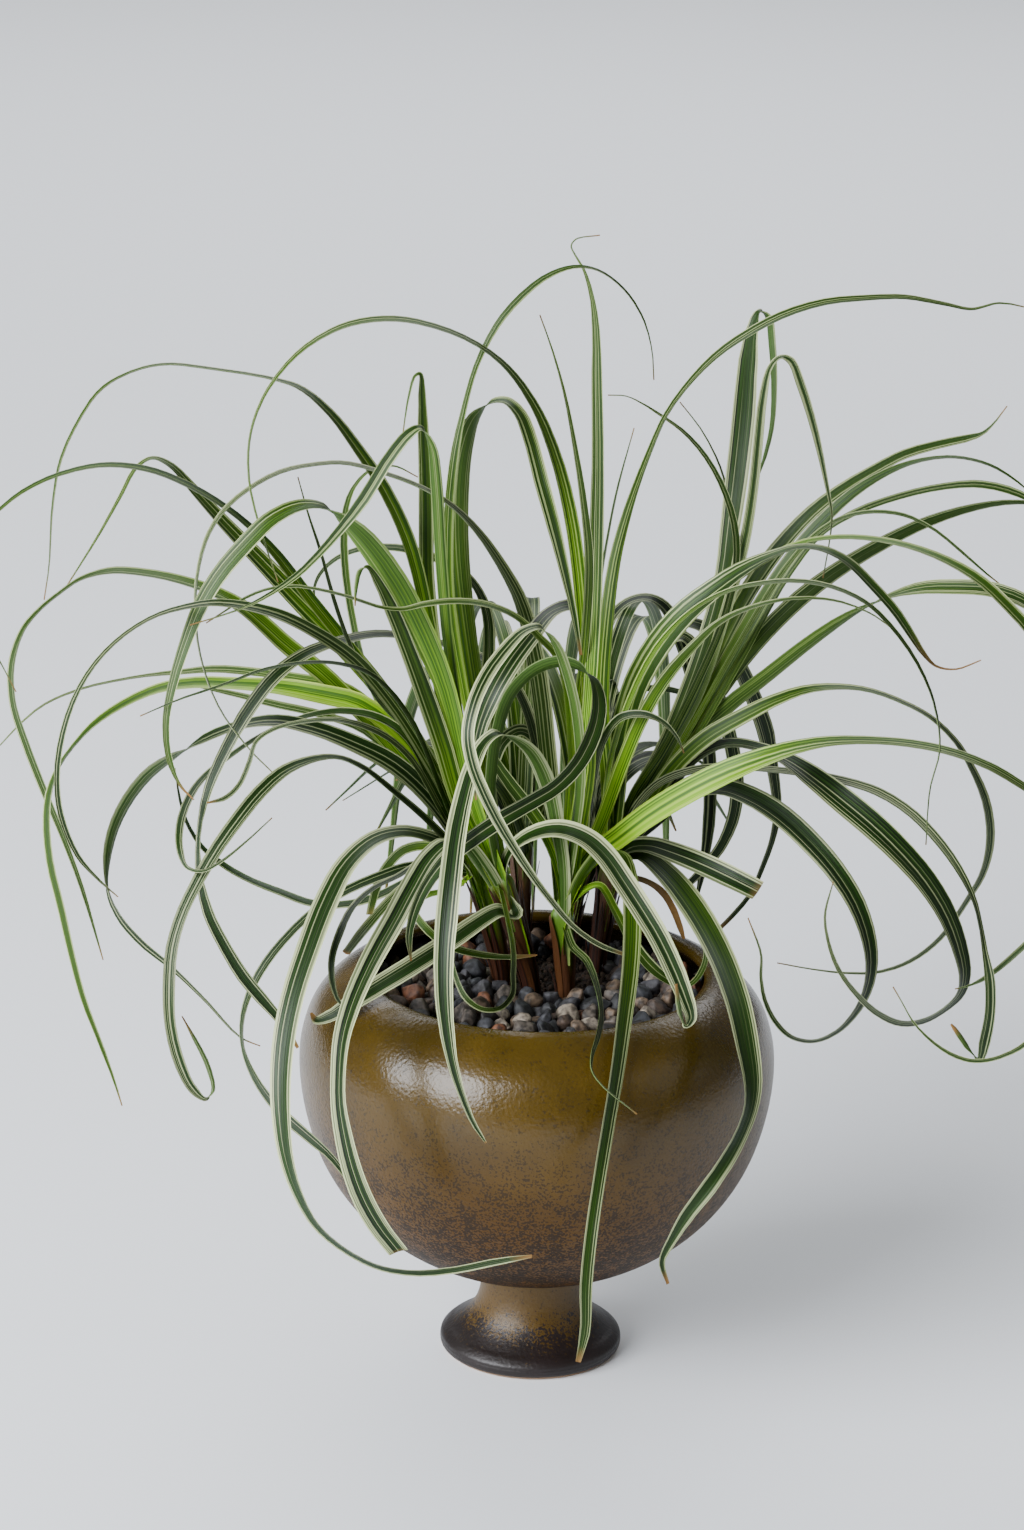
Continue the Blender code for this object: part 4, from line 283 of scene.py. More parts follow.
MIDDLE_LEAVES = (
    Leaf("shoot_front", (12, 22, 34), (
        (571, 850, 8), (583, 770, 11), (590, 690, 13), (595, 600, 14), (597, 520, 14), (598, 450, 12),
        (597, 385, 11), (596, 330, 8), (592, 297, 5), (584, 270, 3), (575, 255, 1), (571, 246, 1),
        (576, 239, 1), (600, 235, 1))),
    Leaf("shoot_front", (4, 2, -6), (
        (566, 840, 8), (574, 740, 9), (585, 640, 9), (589, 560, 9), (583, 498, 7), (575, 447, 5),
        (565, 395, 3), (553, 352, 2), (540, 315, 1))),
    Leaf("shoot_front", (8, 12, 8, -6, -14), (
        (577, 850, 10), (589, 770, 12), (588, 700, 13), (584, 640, 13), (579, 575, 14), (571, 518, 14),
        (557, 461, 12), (536, 409, 9), (508, 369, 6), (478, 345, 4), (440, 328, 5), (395, 319, 6),
        (350, 324, 6), (314, 341, 5), (287, 364, 4), (263, 398, 3), (250, 436, 2), (249, 480, 2),
        (260, 528, 2), (278, 582, 1))),
    Leaf("shoot_right", (30, 38, 44, 56), (
        (608, 800, 12), (602, 700, 15), (607, 620, 14), (615, 562, 12), (625, 522, 10), (637, 485, 7),
        (650, 451, 5), (666, 415, 4), (690, 382, 5), (718, 354, 7), (750, 332, 8), (785, 314, 8),
        (825, 302, 7), (865, 298, 6), (905, 297, 5), (945, 304, 4), (972, 309, 3), (1000, 303, 2),
        (1046, 312, 1))),
    Leaf("shoot_right", (46, 56, 64), (
        (606, 790, 4), (594, 690, 4), (598, 600, 3), (607, 540, 2), (617, 490, 2), (634, 428, 1))),
    Leaf("shoot_right", (52, 66, 70, 56), (
        (630, 810, 14), (662, 755, 18), (690, 690, 20), (710, 630, 18), (724, 575, 16), (731, 525, 20),
        (738, 470, 23), (744, 415, 23), (748, 365, 20), (753, 328, 13), (760, 311, 3), (768, 317, -7),
        (772, 345, -8), (774, 385, -6), (772, 425, -5), (765, 456, -4), (757, 480, -1))),
    Leaf("shoot_right", (48, 50, 38, 24), (
        (632, 815, 9), (668, 750, 10), (700, 690, 11), (727, 608, 11), (744, 545, 11), (753, 492, 10),
        (758, 445, 10), (763, 398, 9), (771, 366, 5), (781, 357, 4), (791, 361, 8), (801, 385, 9),
        (812, 420, 8), (821, 457, 6), (828, 492, 4), (832, 515, 2), (829, 545, 1), (823, 578, 1))),
    Leaf("shoot_right", (44, 56, 52), (
        (628, 805, 7), (662, 750, 8), (698, 680, 8), (724, 618, 8), (736, 565, 7), (735, 528, 7),
        (724, 490, 6), (706, 457, 5), (684, 432, 4), (662, 416, 3), (645, 405, 2), (626, 396, 1),
        (608, 395, 1))),
    Leaf("shoot_right", (54, 74, 82), (
        (634, 800, 4), (672, 730, 4), (706, 650, 3), (724, 580, 2), (731, 520, 2), (722, 472, 2),
        (703, 432, 1), (680, 402, 1))),
    Leaf("shoot_right", (58, 64, 74, 78), (
        (650, 800, 14), (690, 715, 17), (722, 640, 18), (754, 582, 18), (782, 544, 16), (812, 512, 14),
        (842, 489, 12), (872, 471, 11), (905, 454, 10), (940, 444, 9), (968, 438, 8), (983, 433, 4),
        (995, 422, 2), (1007, 406, 1))),
    Leaf("shoot_right", (46, 48, 50, 42), (
        (648, 805, 12), (688, 735, 15), (728, 660, 16), (765, 598, 16), (800, 547, 14), (830, 513, 12),
        (860, 488, 10), (892, 470, 7), (922, 460, 4), (955, 457, 3), (990, 465, 3), (1018, 482, 2),
        (1042, 504, 1))),
    Leaf("shoot_right", (36, 40, 48, 46), (
        (644, 812, 7), (690, 745, 8), (740, 660, 8), (786, 578, 7), (822, 533, 6), (858, 511, 7),
        (900, 496, 7), (940, 487, 7), (978, 484, 8), (1012, 491, 8), (1040, 505, 5), (1062, 522, 3),
        (1078, 542, 1))),
    Leaf("shoot_right", (40, 34, 24, 10), (
        (640, 808, 5), (684, 740, 5), (735, 650, 5), (790, 562, 5), (826, 526, 4), (860, 513, 4),
        (900, 514, 4), (932, 528, 3), (962, 552, 3), (987, 574, 2), (1005, 588, 1))),
    Leaf("shoot_right", (56, 74, 86, 92), (
        (655, 800, 14), (700, 720, 17), (748, 652, 18), (795, 603, 18), (838, 570, 16), (880, 545, 14),
        (920, 525, 12), (960, 511, 9), (1000, 503, 6), (1035, 503, 4), (1070, 509, 3), (1096, 520, 1))),
    Leaf("shoot_right", (30, 22, 4, -20, -52, -62), (
        (650, 805, -12), (690, 742, -15), (728, 706, -16), (768, 675, -14), (806, 645, -13),
        (840, 621, -10), (866, 606, -4), (892, 595, 6), (922, 588, 13), (955, 587, 15), (988, 589, 15),
        (1020, 599, 14), (1052, 622, 11), (1078, 668, 8), (1092, 735, 6), (1090, 805, 6),
        (1074, 868, 6), (1046, 922, 6), (1015, 954, 6), (988, 976, 5), (968, 986, 2), (955, 989, 1))),
    Leaf("shoot_right", (22, 16, 10, -8, -14), (
        (617, 800, 17), (622, 735, 22), (636, 685, 25), (658, 645, 26), (684, 614, 24), (712, 591, 20),
        (742, 570, 15), (772, 555, 7), (798, 547, 4), (822, 549, 6), (847, 561, 8), (872, 585, 9),
        (896, 612, 9), (912, 636, 8), (923, 653, 5), (936, 666, 2), (956, 669, 1), (981, 660, 1))),
    Leaf("shoot_right", (14, 4, -14, -34, -72, -78), (
        (614, 795, 9), (626, 730, 11), (648, 676, 12), (676, 632, 13), (708, 598, 13), (740, 574, 11),
        (772, 556, 7), (803, 542, 4), (838, 537, 4), (875, 539, 5), (912, 547, 6), (948, 561, 8),
        (980, 580, 10), (1008, 606, 11), (1035, 637, 11), (1062, 690, 9), (1080, 760, 7),
        (1086, 840, 6), (1080, 920, 6), (1062, 990, 5), (1030, 1040, 5), (1000, 1057, 4),
        (975, 1061, 4), (955, 1056, 4), (934, 1043, 3), (914, 1023, 2), (903, 1004, 1),
        (893, 987, 1))),
    Leaf("shoot_right", (0, -22, -34, -42, -40), (
        (606, 790, 5), (622, 720, 6), (655, 650, 6), (690, 612, 4), (725, 592, 4), (762, 583, 4),
        (800, 581, 4), (836, 588, 4), (868, 604, 4), (896, 632, 4), (920, 668, 3), (935, 706, 2),
        (940, 750, 1), (930, 790, 1), (926, 845, 1))),
    Leaf("shoot_front", (0, -10, -14, -22), (
        (586, 860, 12), (604, 815, 13), (622, 765, 14), (642, 718, 14), (664, 681, 13), (690, 650, 10),
        (720, 622, 6), (755, 606, 4), (798, 598, 3), (838, 601, 2), (872, 614, 1), (898, 633, 1))),
    Leaf("shoot_right", (22, 18, 6, 4, 2, 8), (
        (640, 820, 14), (672, 770, 16), (706, 738, 17), (742, 717, 16), (774, 701, 13), (806, 690, 9),
        (838, 687, 6), (868, 690, 4), (900, 701, 4), (930, 717, 4), (955, 741, 5), (973, 771, 7),
        (986, 803, 9), (990, 838, 9), (983, 872, 7), (965, 903, 5), (940, 938, 5), (910, 961, 4),
        (878, 972, 3), (845, 973, 2), (810, 969, 1), (777, 963, 1))),
    Leaf("shoot_front", (-6, -20, -38, -30), (
        (572, 890, 14), (590, 860, 18), (618, 838, 22), (650, 814, 24), (688, 791, 25), (724, 773, 24),
        (760, 759, 19), (796, 748, 14), (832, 742, 10), (870, 741, 7), (910, 744, 8), (950, 752, 8),
        (988, 766, 8), (1018, 783, 8), (1046, 803, 6), (1070, 826, 3), (1086, 848, 1))),
    Leaf("shoot_right", (18, 6, -18, -48, -70, -66), (
        (630, 818, 8), (658, 784, 8), (694, 770, 8), (730, 767, 7), (764, 769, 6), (800, 773, 7),
        (840, 780, 8), (878, 792, 9), (910, 812, 9), (936, 838, 9), (958, 868, 8), (974, 900, 5),
        (981, 928, 3), (985, 952, 6), (990, 982, 10), (990, 1012, 10), (985, 1040, 11),
        (979, 1060, 6), (968, 1048, -6), (957, 1032, -5), (951, 1024, -2))),
    Leaf("shoot_right", (26, -8, -26, -44, -62), (
        (642, 826, 16), (668, 786, 20), (696, 757, 14), (728, 744, 9), (760, 748, 9), (788, 760, 14),
        (814, 778, 22), (843, 801, 26), (873, 826, 26), (902, 854, 24), (926, 882, 22), (946, 914, 19),
        (959, 948, 16), (964, 975, 12), (960, 993, 8), (946, 1008, 4), (925, 1020, 5), (902, 1023, 6),
        (878, 1013, 6), (856, 993, 5), (838, 968, 4), (828, 940, 3), (825, 915, 2), (833, 882, 1))),
    Leaf("shoot_back", (26, -14, -32, -36), (
        (628, 842, 16), (656, 818, 18), (688, 792, 17), (722, 787, 17), (752, 797, 20), (782, 816, 22),
        (811, 843, 22), (836, 872, 20), (856, 904, 18), (868, 938, 15), (871, 966, 12), (866, 992, 9),
        (854, 1014, 6), (836, 1032, 4), (814, 1041, 3), (792, 1037, 4), (776, 1022, 5),
        (765, 1000, 4), (761, 977, 3), (761, 954, 2), (748, 918, 1))),
    Leaf("shoot_right", (14, -4, -14), (
        (625, 850, 12), (648, 845, 16), (672, 852, 20), (700, 863, 22), (728, 876, 22),
        (758, 891, 20)), blunt=True),
    Leaf("shoot_right", (4, -44, -76, -96, -92), (
        (622, 858, 10), (644, 856, 14), (667, 874, 22), (689, 901, 26), (709, 933, 26), (726, 969, 25),
        (739, 1008, 24), (747, 1047, 22), (752, 1082, 18), (750, 1108, 13), (741, 1134, 12),
        (727, 1160, 14), (708, 1188, 15), (688, 1214, 13), (672, 1240, 9), (662, 1262, 6),
        (668, 1284, 3))),
    Leaf("shoot_front", (-20, -56, -88, -112, -120), (
        (575, 890, -9), (592, 862, -12), (610, 847, -8), (623, 856, 12), (630, 884, 17), (632, 922, 18),
        (630, 968, 17), (624, 1018, 15), (617, 1070, 13), (608, 1125, 12), (599, 1180, 12),
        (591, 1235, 12), (586, 1285, 12), (585, 1330, 10), (578, 1362, 5))),
    Leaf("shoot_inner", (-16, -40, -54, -64), (
        (504, 868, 8), (513, 847, 10), (534, 833, 15), (560, 829, 18), (586, 838, 20), (606, 856, 22),
        (624, 882, 22), (641, 908, 22), (658, 936, 21), (673, 967, 20), (685, 997, 17), (691, 1018, 11),
        (686, 1026, 4), (680, 1012, -6), (676, 984, -3))),
    Leaf("shoot_inner", (-14, -20, -44, -62, -46), (
        (494, 840, -9), (491, 785, -11), (497, 735, -12), (510, 695, -12), (533, 671, -12),
        (558, 662, -12), (580, 667, -9), (594, 681, 9), (599, 704, 15), (594, 732, 17), (578, 764, 16),
        (556, 787, 15), (528, 804, 15), (500, 820, 16), (472, 839, 16), (448, 858, 15), (429, 881, 12),
        (416, 907, 10), (409, 936, 7), (411, 961, 2))),
    Leaf("shoot_front", (-14, -36, -70, -66, -38), (
        (572, 850, -9), (580, 780, -10), (577, 720, -10), (567, 674, -10), (554, 641, -8),
        (540, 627, 5), (524, 631, 9), (505, 650, 13), (487, 675, 14), (474, 704, 13), (468, 735, 12),
        (473, 765, 12), (484, 793, 12), (499, 823, 11), (516, 851, 9), (534, 878, 7), (553, 903, 6),
        (574, 927, 5), (600, 945, 5), (632, 957, 3))),
    Leaf("shoot_back", (38, 30, 4, -4), (
        (588, 800, 14), (597, 700, 18), (591, 635, 16), (574, 607, 9), (552, 612, 12), (531, 636, 18),
        (510, 664, 20), (492, 696, 19), (479, 730, 15), (474, 768, 8), (476, 800, 2))),
    Leaf("shoot_back", (62, 74, 76, 66), (
        (592, 790, 12), (597, 700, 14), (602, 650, 14), (611, 619, 11), (628, 602, 8), (648, 598, 8),
        (665, 608, 12), (680, 636, 16), (693, 675, 17), (704, 720, 15), (710, 770, 14), (709, 820, 13),
        (704, 862, 9), (696, 902, 3))),
    Leaf("shoot_back", (60, 84, 90, 70), (
        (596, 795, 10), (616, 720, 11), (645, 655, 11), (678, 624, 10), (706, 629, 13), (731, 653, 15),
        (750, 690, 17), (765, 730, 18), (773, 772, 12), (777, 812, 9), (772, 840, 6), (762, 868, 5),
        (751, 893, 5), (733, 915, 5), (715, 933, 4))),
    Leaf("shoot_back", (52, 66, 62, 50), (
        (598, 800, 11), (622, 730, 12), (650, 660, 11), (680, 636, 11), (702, 657, 13), (719, 700, 15),
        (732, 748, 15), (737, 785, 14), (733, 818, 13), (721, 846, 11), (704, 868, 9), (688, 884, 7),
        (675, 893, 3))),
    Leaf("shoot_back", (36, 16, 12), (
        (588, 820, 7), (594, 775, 8), (604, 738, 8), (621, 717, 8), (643, 714, 7), (663, 722, 5),
        (677, 737, 3), (684, 753, 1))),
    Leaf("shoot_back", (64, 82, 92), (
        (590, 790, 7), (601, 725, 7), (622, 694, 7), (650, 688, 7), (680, 692, 6), (704, 704, 2))),
    Leaf("shoot_front", (-14, -48, -80, -92), (
        (572, 946, 8), (586, 960, 8), (596, 984, 5), (601, 1010, 4), (598, 1036, 5), (592, 1056, 3),
        (592, 1070, 1), (603, 1086, 1), (637, 1114, 1))),
    Leaf("shoot_inner", (-16, -36, -38, -30), (
        (513, 948, 5), (513, 975, 5), (512, 995, 5), (500, 1008, 5), (482, 1009, 5), (466, 998, 6),
        (456, 978, 5), (451, 955, 2))),
    Leaf("shoot_left", (10, -2, 2, 4), (
        (455, 888, 5), (425, 896, 7), (413, 906, 7), (424, 926, 8), (448, 945, 8), (478, 954, 7),
        (510, 957, 5), (537, 955, 2))),
    Leaf("shoot_right", (40, 22, 18), (
        (622, 874, 5), (645, 881, 6), (662, 892, 7), (673, 909, 7), (680, 927, 6), (684, 939, 3))),
    Leaf("shoot_front", (-4, -16, -16, -4), (
        (582, 892, 6), (600, 886, 7), (614, 908, 8), (630, 938, 10), (649, 964, 12), (671, 981, 9),
        (690, 984, 5), (702, 970, 6), (706, 953, 5), (702, 938, 2))),
    Leaf("shoot_front", (10, -8, -16, -20), (
        (573, 850, 7), (572, 760, 8), (560, 662, 8), (540, 638, 7), (515, 616, 6), (485, 604, 6),
        (455, 601, 6), (425, 604, 6), (403, 609, 4), (380, 607, 3), (350, 597, 3), (322, 590, 3),
        (295, 586, 3), (268, 589, 3), (245, 598, 3), (225, 611, 2), (206, 623, 1))),
    Leaf("shoot_front", (2, 0, -4), (
        (562, 880, 12), (552, 845, 14), (532, 812, 14), (511, 785, 13), (494, 760, 10), (482, 738, 5),
        (476, 722, 1))),
    Leaf("shoot_rear_left", (50, 40, 28), (
        (540, 812, 12), (548, 770, 16), (540, 742, 16), (520, 730, 12), (502, 742, 14), (494, 768, 10),
        (493, 792, 3))),
)

# Leaves behind the rest, which the view hardly shows. Each row is a shoot, how many
# leaves, and their turn in plan, length and last pitch, each from and to
HIDDEN_ROWS = (
    ("shoot_back", 6, (70, 104), (200.0, 290.0), (-88, -76)),
    ("shoot_rear_left", 6, (84, 116), (200.0, 290.0), (-88, -76)),
    ("shoot_back", 4, (34, 66), (92.0, 124.0), (-60, -30)),
    ("shoot_rear_left", 4, (118, 152), (92.0, 122.0), (-60, -30)),
    ("shoot_left", 2, (96, 116), (92.0, 118.0), (-56, -30)),
)
HIDDEN_FIRST_PITCH = (66, 82)
HIDDEN_BEND = 0.78
HIDDEN_WIDTH = (4.6, 7.2)


def sight_point(across, down, depth):
    """Place a point of the view on the plane that lies depth mm behind the pot's axis."""
    right = across - VIEW_MIDDLE[0]
    below = down - VIEW_MIDDLE[1]
    level_right = right * math.cos(VIEW_ROLL) + below * math.sin(VIEW_ROLL)
    level_below = below * math.cos(VIEW_ROLL) - right * math.sin(VIEW_ROLL)
    forward = Vector((0.0, math.cos(VIEW_PITCH), -math.sin(VIEW_PITCH)))
    upward = Vector((0.0, math.sin(VIEW_PITCH), math.cos(VIEW_PITCH)))
    ray = forward * VIEW_FOCAL + Vector((1.0, 0.0, 0.0)) * level_right - upward * level_below
    return VIEW_PLACE + ray * ((depth - VIEW_PLACE.y) / ray.y)


def smooth_value(values, place):
    """Read a Catmull-Rom curve through evenly spaced values at place, from 0 to 1."""
    last = len(values) - 1
    at = min(max(place, 0.0), 1.0) * last
    index = min(int(at), last - 1)
    part = at - index
    before = values[max(index - 1, 0)]
    here, there = values[index], values[index + 1]
    after = values[min(index + 2, last)]
    return 0.5 * (2 * here + (there - before) * part
                  + (2 * before - 5 * here + 4 * there - after) * part ** 2
                  + (3 * here - before - 3 * there + after) * part ** 3)


def smooth_step(value):
    """Rise smoothly from 0 to 1 as value does."""
    value = min(max(value, 0.0), 1.0)
    return value * value * (3.0 - 2.0 * value)


def mix(first, second, low, high, at):
    """Blend two places as at runs from low to high."""
    return (first * (high - at) + second * (at - low)) / (high - low)


def smooth_curve(points, steps):
    """Run a centripetal Catmull-Rom curve through pairs of a place and a seen width."""
    before_first = (points[0][0] * 2 - points[1][0], points[0][1])
    after_last = (points[-1][0] * 2 - points[-2][0], points[-1][1])
    row = [before_first, *points, after_last]
    curve = []
    for index in range(1, len(row) - 2):
        (p0, _), (p1, wide), (p2, next_wide), (p3, _) = row[index - 1:index + 3]
        t0 = 0.0
        t1 = t0 + max((p1 - p0).length, 0.01) ** 0.5
        t2 = t1 + max((p2 - p1).length, 0.01) ** 0.5
        t3 = t2 + max((p3 - p2).length, 0.01) ** 0.5
        for step in range(steps):
            at = t1 + (t2 - t1) * step / steps
            a1, a2, a3 = mix(p0, p1, t0, t1, at), mix(p1, p2, t1, t2, at), mix(p2, p3, t2, t3, at)
            b1, b2 = mix(a1, a2, t0, t2, at), mix(a2, a3, t1, t3, at)
            width = wide + (next_wide - wide) * smooth_step(step / steps)
            curve.append((mix(b1, b2, t1, t2, at), width))
    curve.append(points[-1])
    return curve


def pot_radius(height):
    """Give the pot's outer radius at a height, or zero above the lip."""
    for (low_radius, low), (high_radius, high) in zip(POT_OUTSIDE, POT_OUTSIDE[1:]):
        if low <= height <= high and high > low:
            return low_radius + (high_radius - low_radius) * (height - low) / (high - low)
    return 0.0


def clear_of_pot(place, half_width):
    """Bring a point of a leaf forward along its sight line until it misses the pot."""
    toward = (VIEW_PLACE - place).normalized()
    for _ in range(160):
        reach = math.hypot(place.x, place.y)
        height = place.z - POT_CLEARANCE - 0.4 * half_width
        inside_wall = pot_radius(height) + POT_CLEARANCE + 0.6 * half_width
        if reach >= inside_wall or height > POT_OUTSIDE[-1][1]:
            return place
        if reach < POT_INSIDE[0][0] - POT_CLEARANCE and place.z > GRAVEL_TOP:
            return place
        place = place + toward * 1.0
    return place


def sheath_curve(shoot):
    """Give the shoot's middle line: upright in the soil, then out to its crown."""
    across, back = shoot.plan
    crown = sight_point(*shoot.crown, shoot.crown_depth)
    foot = Vector((across, back, SHEATH_FOOT))
    mouth = Vector((across, back, SOIL_TOP + 4.0))
    return [foot, mouth, mouth.lerp(crown, 0.5) + Vector((0.0, 0.0, 1.5)), crown]


def off_axis(order):
    """Give a small step off the sheath's middle line, turned on for each leaf."""
    turn = math.radians(137.5 * order)
    return Vector((math.cos(turn), math.sin(turn), 0.0)) * (0.7 + 0.3 * (order % 4))


def traced_points(leaf, shoot, share, order):
    """Give a leaf's rough points in space: out of the sheath, then along its path."""
    foot, mouth, half, crown = sheath_curve(shoot)
    start = mouth.lerp(crown, 0.30 + 0.45 * share) + off_axis(order)
    second = mouth.lerp(crown, 0.55 + 0.45 * share) + off_axis(order) * 1.2
    scale = (crown - VIEW_PLACE).length / VIEW_FOCAL
    lengths = [0.0]
    for near, far in zip(leaf.path, leaf.path[1:]):
        lengths.append(lengths[-1] + math.dist(near[:2], far[:2]))
    lead = math.dist(shoot.crown, leaf.path[0][:2])
    depths = (crown.y, *leaf.depths)
    first_width = leaf.path[0][2] * scale
    points = [(start, first_width * 0.6), (second, first_width * 0.8)]
    for (across, down, wide), length in zip(leaf.path, lengths):
        depth = smooth_value(depths, (lead + length) / (lead + lengths[-1]))
        place = sight_point(across, down, depth)
        width = wide * scale
        points.append((clear_of_pot(place, abs(width) / 2), width))
    return points


def turn_side(leaf):
    """Say which way a leaf runs at its highest point: 1 to the right, -1 to the left."""
    top = min(range(len(leaf.path)), key=lambda index: leaf.path[index][1])
    near = leaf.path[max(top - 1, 0)]
    far = leaf.path[min(top + 1, len(leaf.path) - 1)]
    return 1.0 if far[0] >= near[0] else -1.0


def hidden_points(shoot, row, order, draw):
    """Draw the rough points of a leaf that arches away behind the plant.

    Returns them, and the level direction that the leaf's width lies along.
    """
    foot, mouth, half, crown = sheath_curve(shoot)
    _, count, (low, high), lengths, last_pitches = row
    turn = math.radians(low + (high - low) * (order + draw.uniform(0.15, 0.85)) / count)
    drift = math.radians(draw.uniform(-14, 14))
    first = math.radians(draw.uniform(*HIDDEN_FIRST_PITCH))
    last = math.radians(draw.uniform(*last_pitches))
    step = draw.uniform(*lengths) / 8
    wide = draw.uniform(*HIDDEN_WIDTH)
    aside = off_axis(order + 2)
    place = crown + aside * 1.4
    points = [(mouth.lerp(crown, 0.35 + 0.4 * order / count) + aside, wide * 0.5),
              (place, wide * 0.8)]
    for share in (0.06, 0.19, 0.31, 0.44, 0.56, 0.69, 0.81, 0.94):
        pitch = first + (last - first) * smooth_step(share / HIDDEN_BEND * 0.9 + 0.05)
        way = turn + drift * share
        level = math.cos(pitch)
        place = place + Vector((level * math.cos(way), level * math.sin(way),
                                math.sin(pitch))) * step
        points.append((place, wide * (1.0 - max(0.0, share - 0.5) * 1.9)))
    return points, Vector((-math.sin(turn), math.cos(turn), 0.0))


class Ribbon:
    """A leaf ready to mesh: its curve, the way its width lies, and its real width.

    A leaf that was read from the view turns so that its seen width comes out. One
    that wasn't has a flat direction for its width instead.
    """

    def __init__(self, shoot, points, side, blunt, flat):
        self.shoot = shoot
        self.side = side
        self.blunt = blunt
        self.flat = flat
        self.fine = smooth_curve(points, 8)
        self.widest = max(max(abs(width) for _, width in points) * 1.04, LEAF_LEAST_WIDTH)
        self.stations = self.pick_stations()
        self.shift = [0.0] * len(self.stations)

    def pick_stations(self):
        """Pick stations closer together where the leaf bends."""
        places = [place for place, _ in self.fine]
        spent = [0.0]
        for index in range(1, len(places)):
            before = places[index] - places[index - 1]
            cost = before.length / STATION_LENGTH
            if index + 1 < len(places):
                after = places[index + 1] - places[index]
                if before.length > 1e-6 and after.length > 1e-6:
                    cost += before.angle(after) / STATION_TURN
            spent.append(spent[-1] + cost)
        count = max(7, round(spent[-1]))
        picked = [0]
        for order in range(1, count):
            goal = spent[-1] * order / count
            index = min(range(len(spent)), key=lambda k: abs(spent[k] - goal))
            if index > picked[-1]:
                picked.append(index)
        if picked[-1] != len(places) - 1:
            picked.append(len(places) - 1)
        return picked

    def lengths(self):
        """Give the length along the leaf at each station."""
        along = [0.0]
        for near, far in zip(self.fine, self.fine[1:]):
            along.append(along[-1] + (far[0] - near[0]).length)
        return [along[index] for index in self.stations]

    def places(self):
        """Give the stations' places, with what parting moved along the sight lines."""
        moved = []
        for index, shift in zip(self.stations, self.shift):
            place = self.fine[index][0]
            moved.append(place + (place - VIEW_PLACE).normalized() * shift)
        return moved

    def real_width(self, share, seen):
        """Give the leaf's real width at a share of its length."""
        root = 0.55 + 0.45 * smooth_step(share / 0.16)
        taper = 1.0 - 0.86 * max(0.0, (share - TAPER_START) / (1.0 - TAPER_START)) ** 1.1
        if self.blunt:
            taper = 1.0
        return max(self.widest * root * taper, abs(seen), LEAF_TIP_WIDTH)

    def sections(self):
        """Give each station's place, width direction, face direction and half width."""
        places = self.places()
        along = self.lengths()
        sections = []
        for order, place in enumerate(places):
            near = places[max(order - 1, 0)]
            far = places[min(order + 1, len(places) - 1)]
            tangent = (far - near).normalized()
            view = (place - VIEW_PLACE).normalized()
            seen = self.fine[self.stations[order]][1]
            real = self.real_width(along[order] / along[-1], seen)
            if self.flat:
                wide = (self.flat - tangent * self.flat.dot(tangent)).normalized()
            else:
                upright = (tangent.cross(view) * self.side).normalized()
                away = (view - tangent * view.dot(tangent)).normalized()
                turn = math.acos(min(max(seen / real, -1.0), 1.0))
                wide = upright * math.cos(turn) + away * math.sin(turn)
            face = tangent.cross(wide) * (1.0 if self.flat else self.side)
            sections.append((place, wide, face.normalized(), real / 2))
        return sections

    def solid(self, extra=0.0):
        """Give the leaf's vertices and faces, extra mm fatter all round where asked."""
        vertices, faces = [], []
        sections = self.sections()
        last = len(sections) - 1
        for order, (place, wide, face, half) in enumerate(sections):
            thick = LEAF_THICK + (LEAF_TIP_THICK - LEAF_THICK) * order / last
            vertices += [place - wide * (half + extra) + face * (thick / 3 + extra),
                         place + wide * (half + extra) + face * (thick / 3 + extra),
                         place - face * (thick * 2 / 3 + extra)]
        for order in range(last):
            low, high = order * 3, order * 3 + 3
            for corner in range(3):
                after = (corner + 1) % 3
                faces.append((low + corner, low + after, high + after, high + corner))
        faces.append((2, 1, 0))
        faces.append(tuple(last * 3 + corner for corner in range(3)))
        return vertices, faces

    def shift_at(self, length: float, lengths: list) -> float:
        """Read the parting shift at a length with a smooth curve through the stations."""
        last = len(lengths) - 1
        index = 0
        while index < last - 1 and lengths[index + 1] < length:
            index += 1
        span = max(lengths[index + 1] - lengths[index], 1e-6)
        part = min(max((length - lengths[index]) / span, 0.0), 1.0)
        here, there = self.shift[index], self.shift[index + 1]
        before, after = max(index - 1, 0), min(index + 2, last)
        leave = (there - self.shift[before]) / (lengths[index + 1] - lengths[before]) * span
        reach = (self.shift[after] - here) / (lengths[after] - lengths[index]) * span
        return (here * (2 * part ** 3 - 3 * part ** 2 + 1) + leave * (part ** 3 - 2 * part ** 2 + part)
                + there * (3 * part ** 2 - 2 * part ** 3) + reach * (part ** 3 - part ** 2))

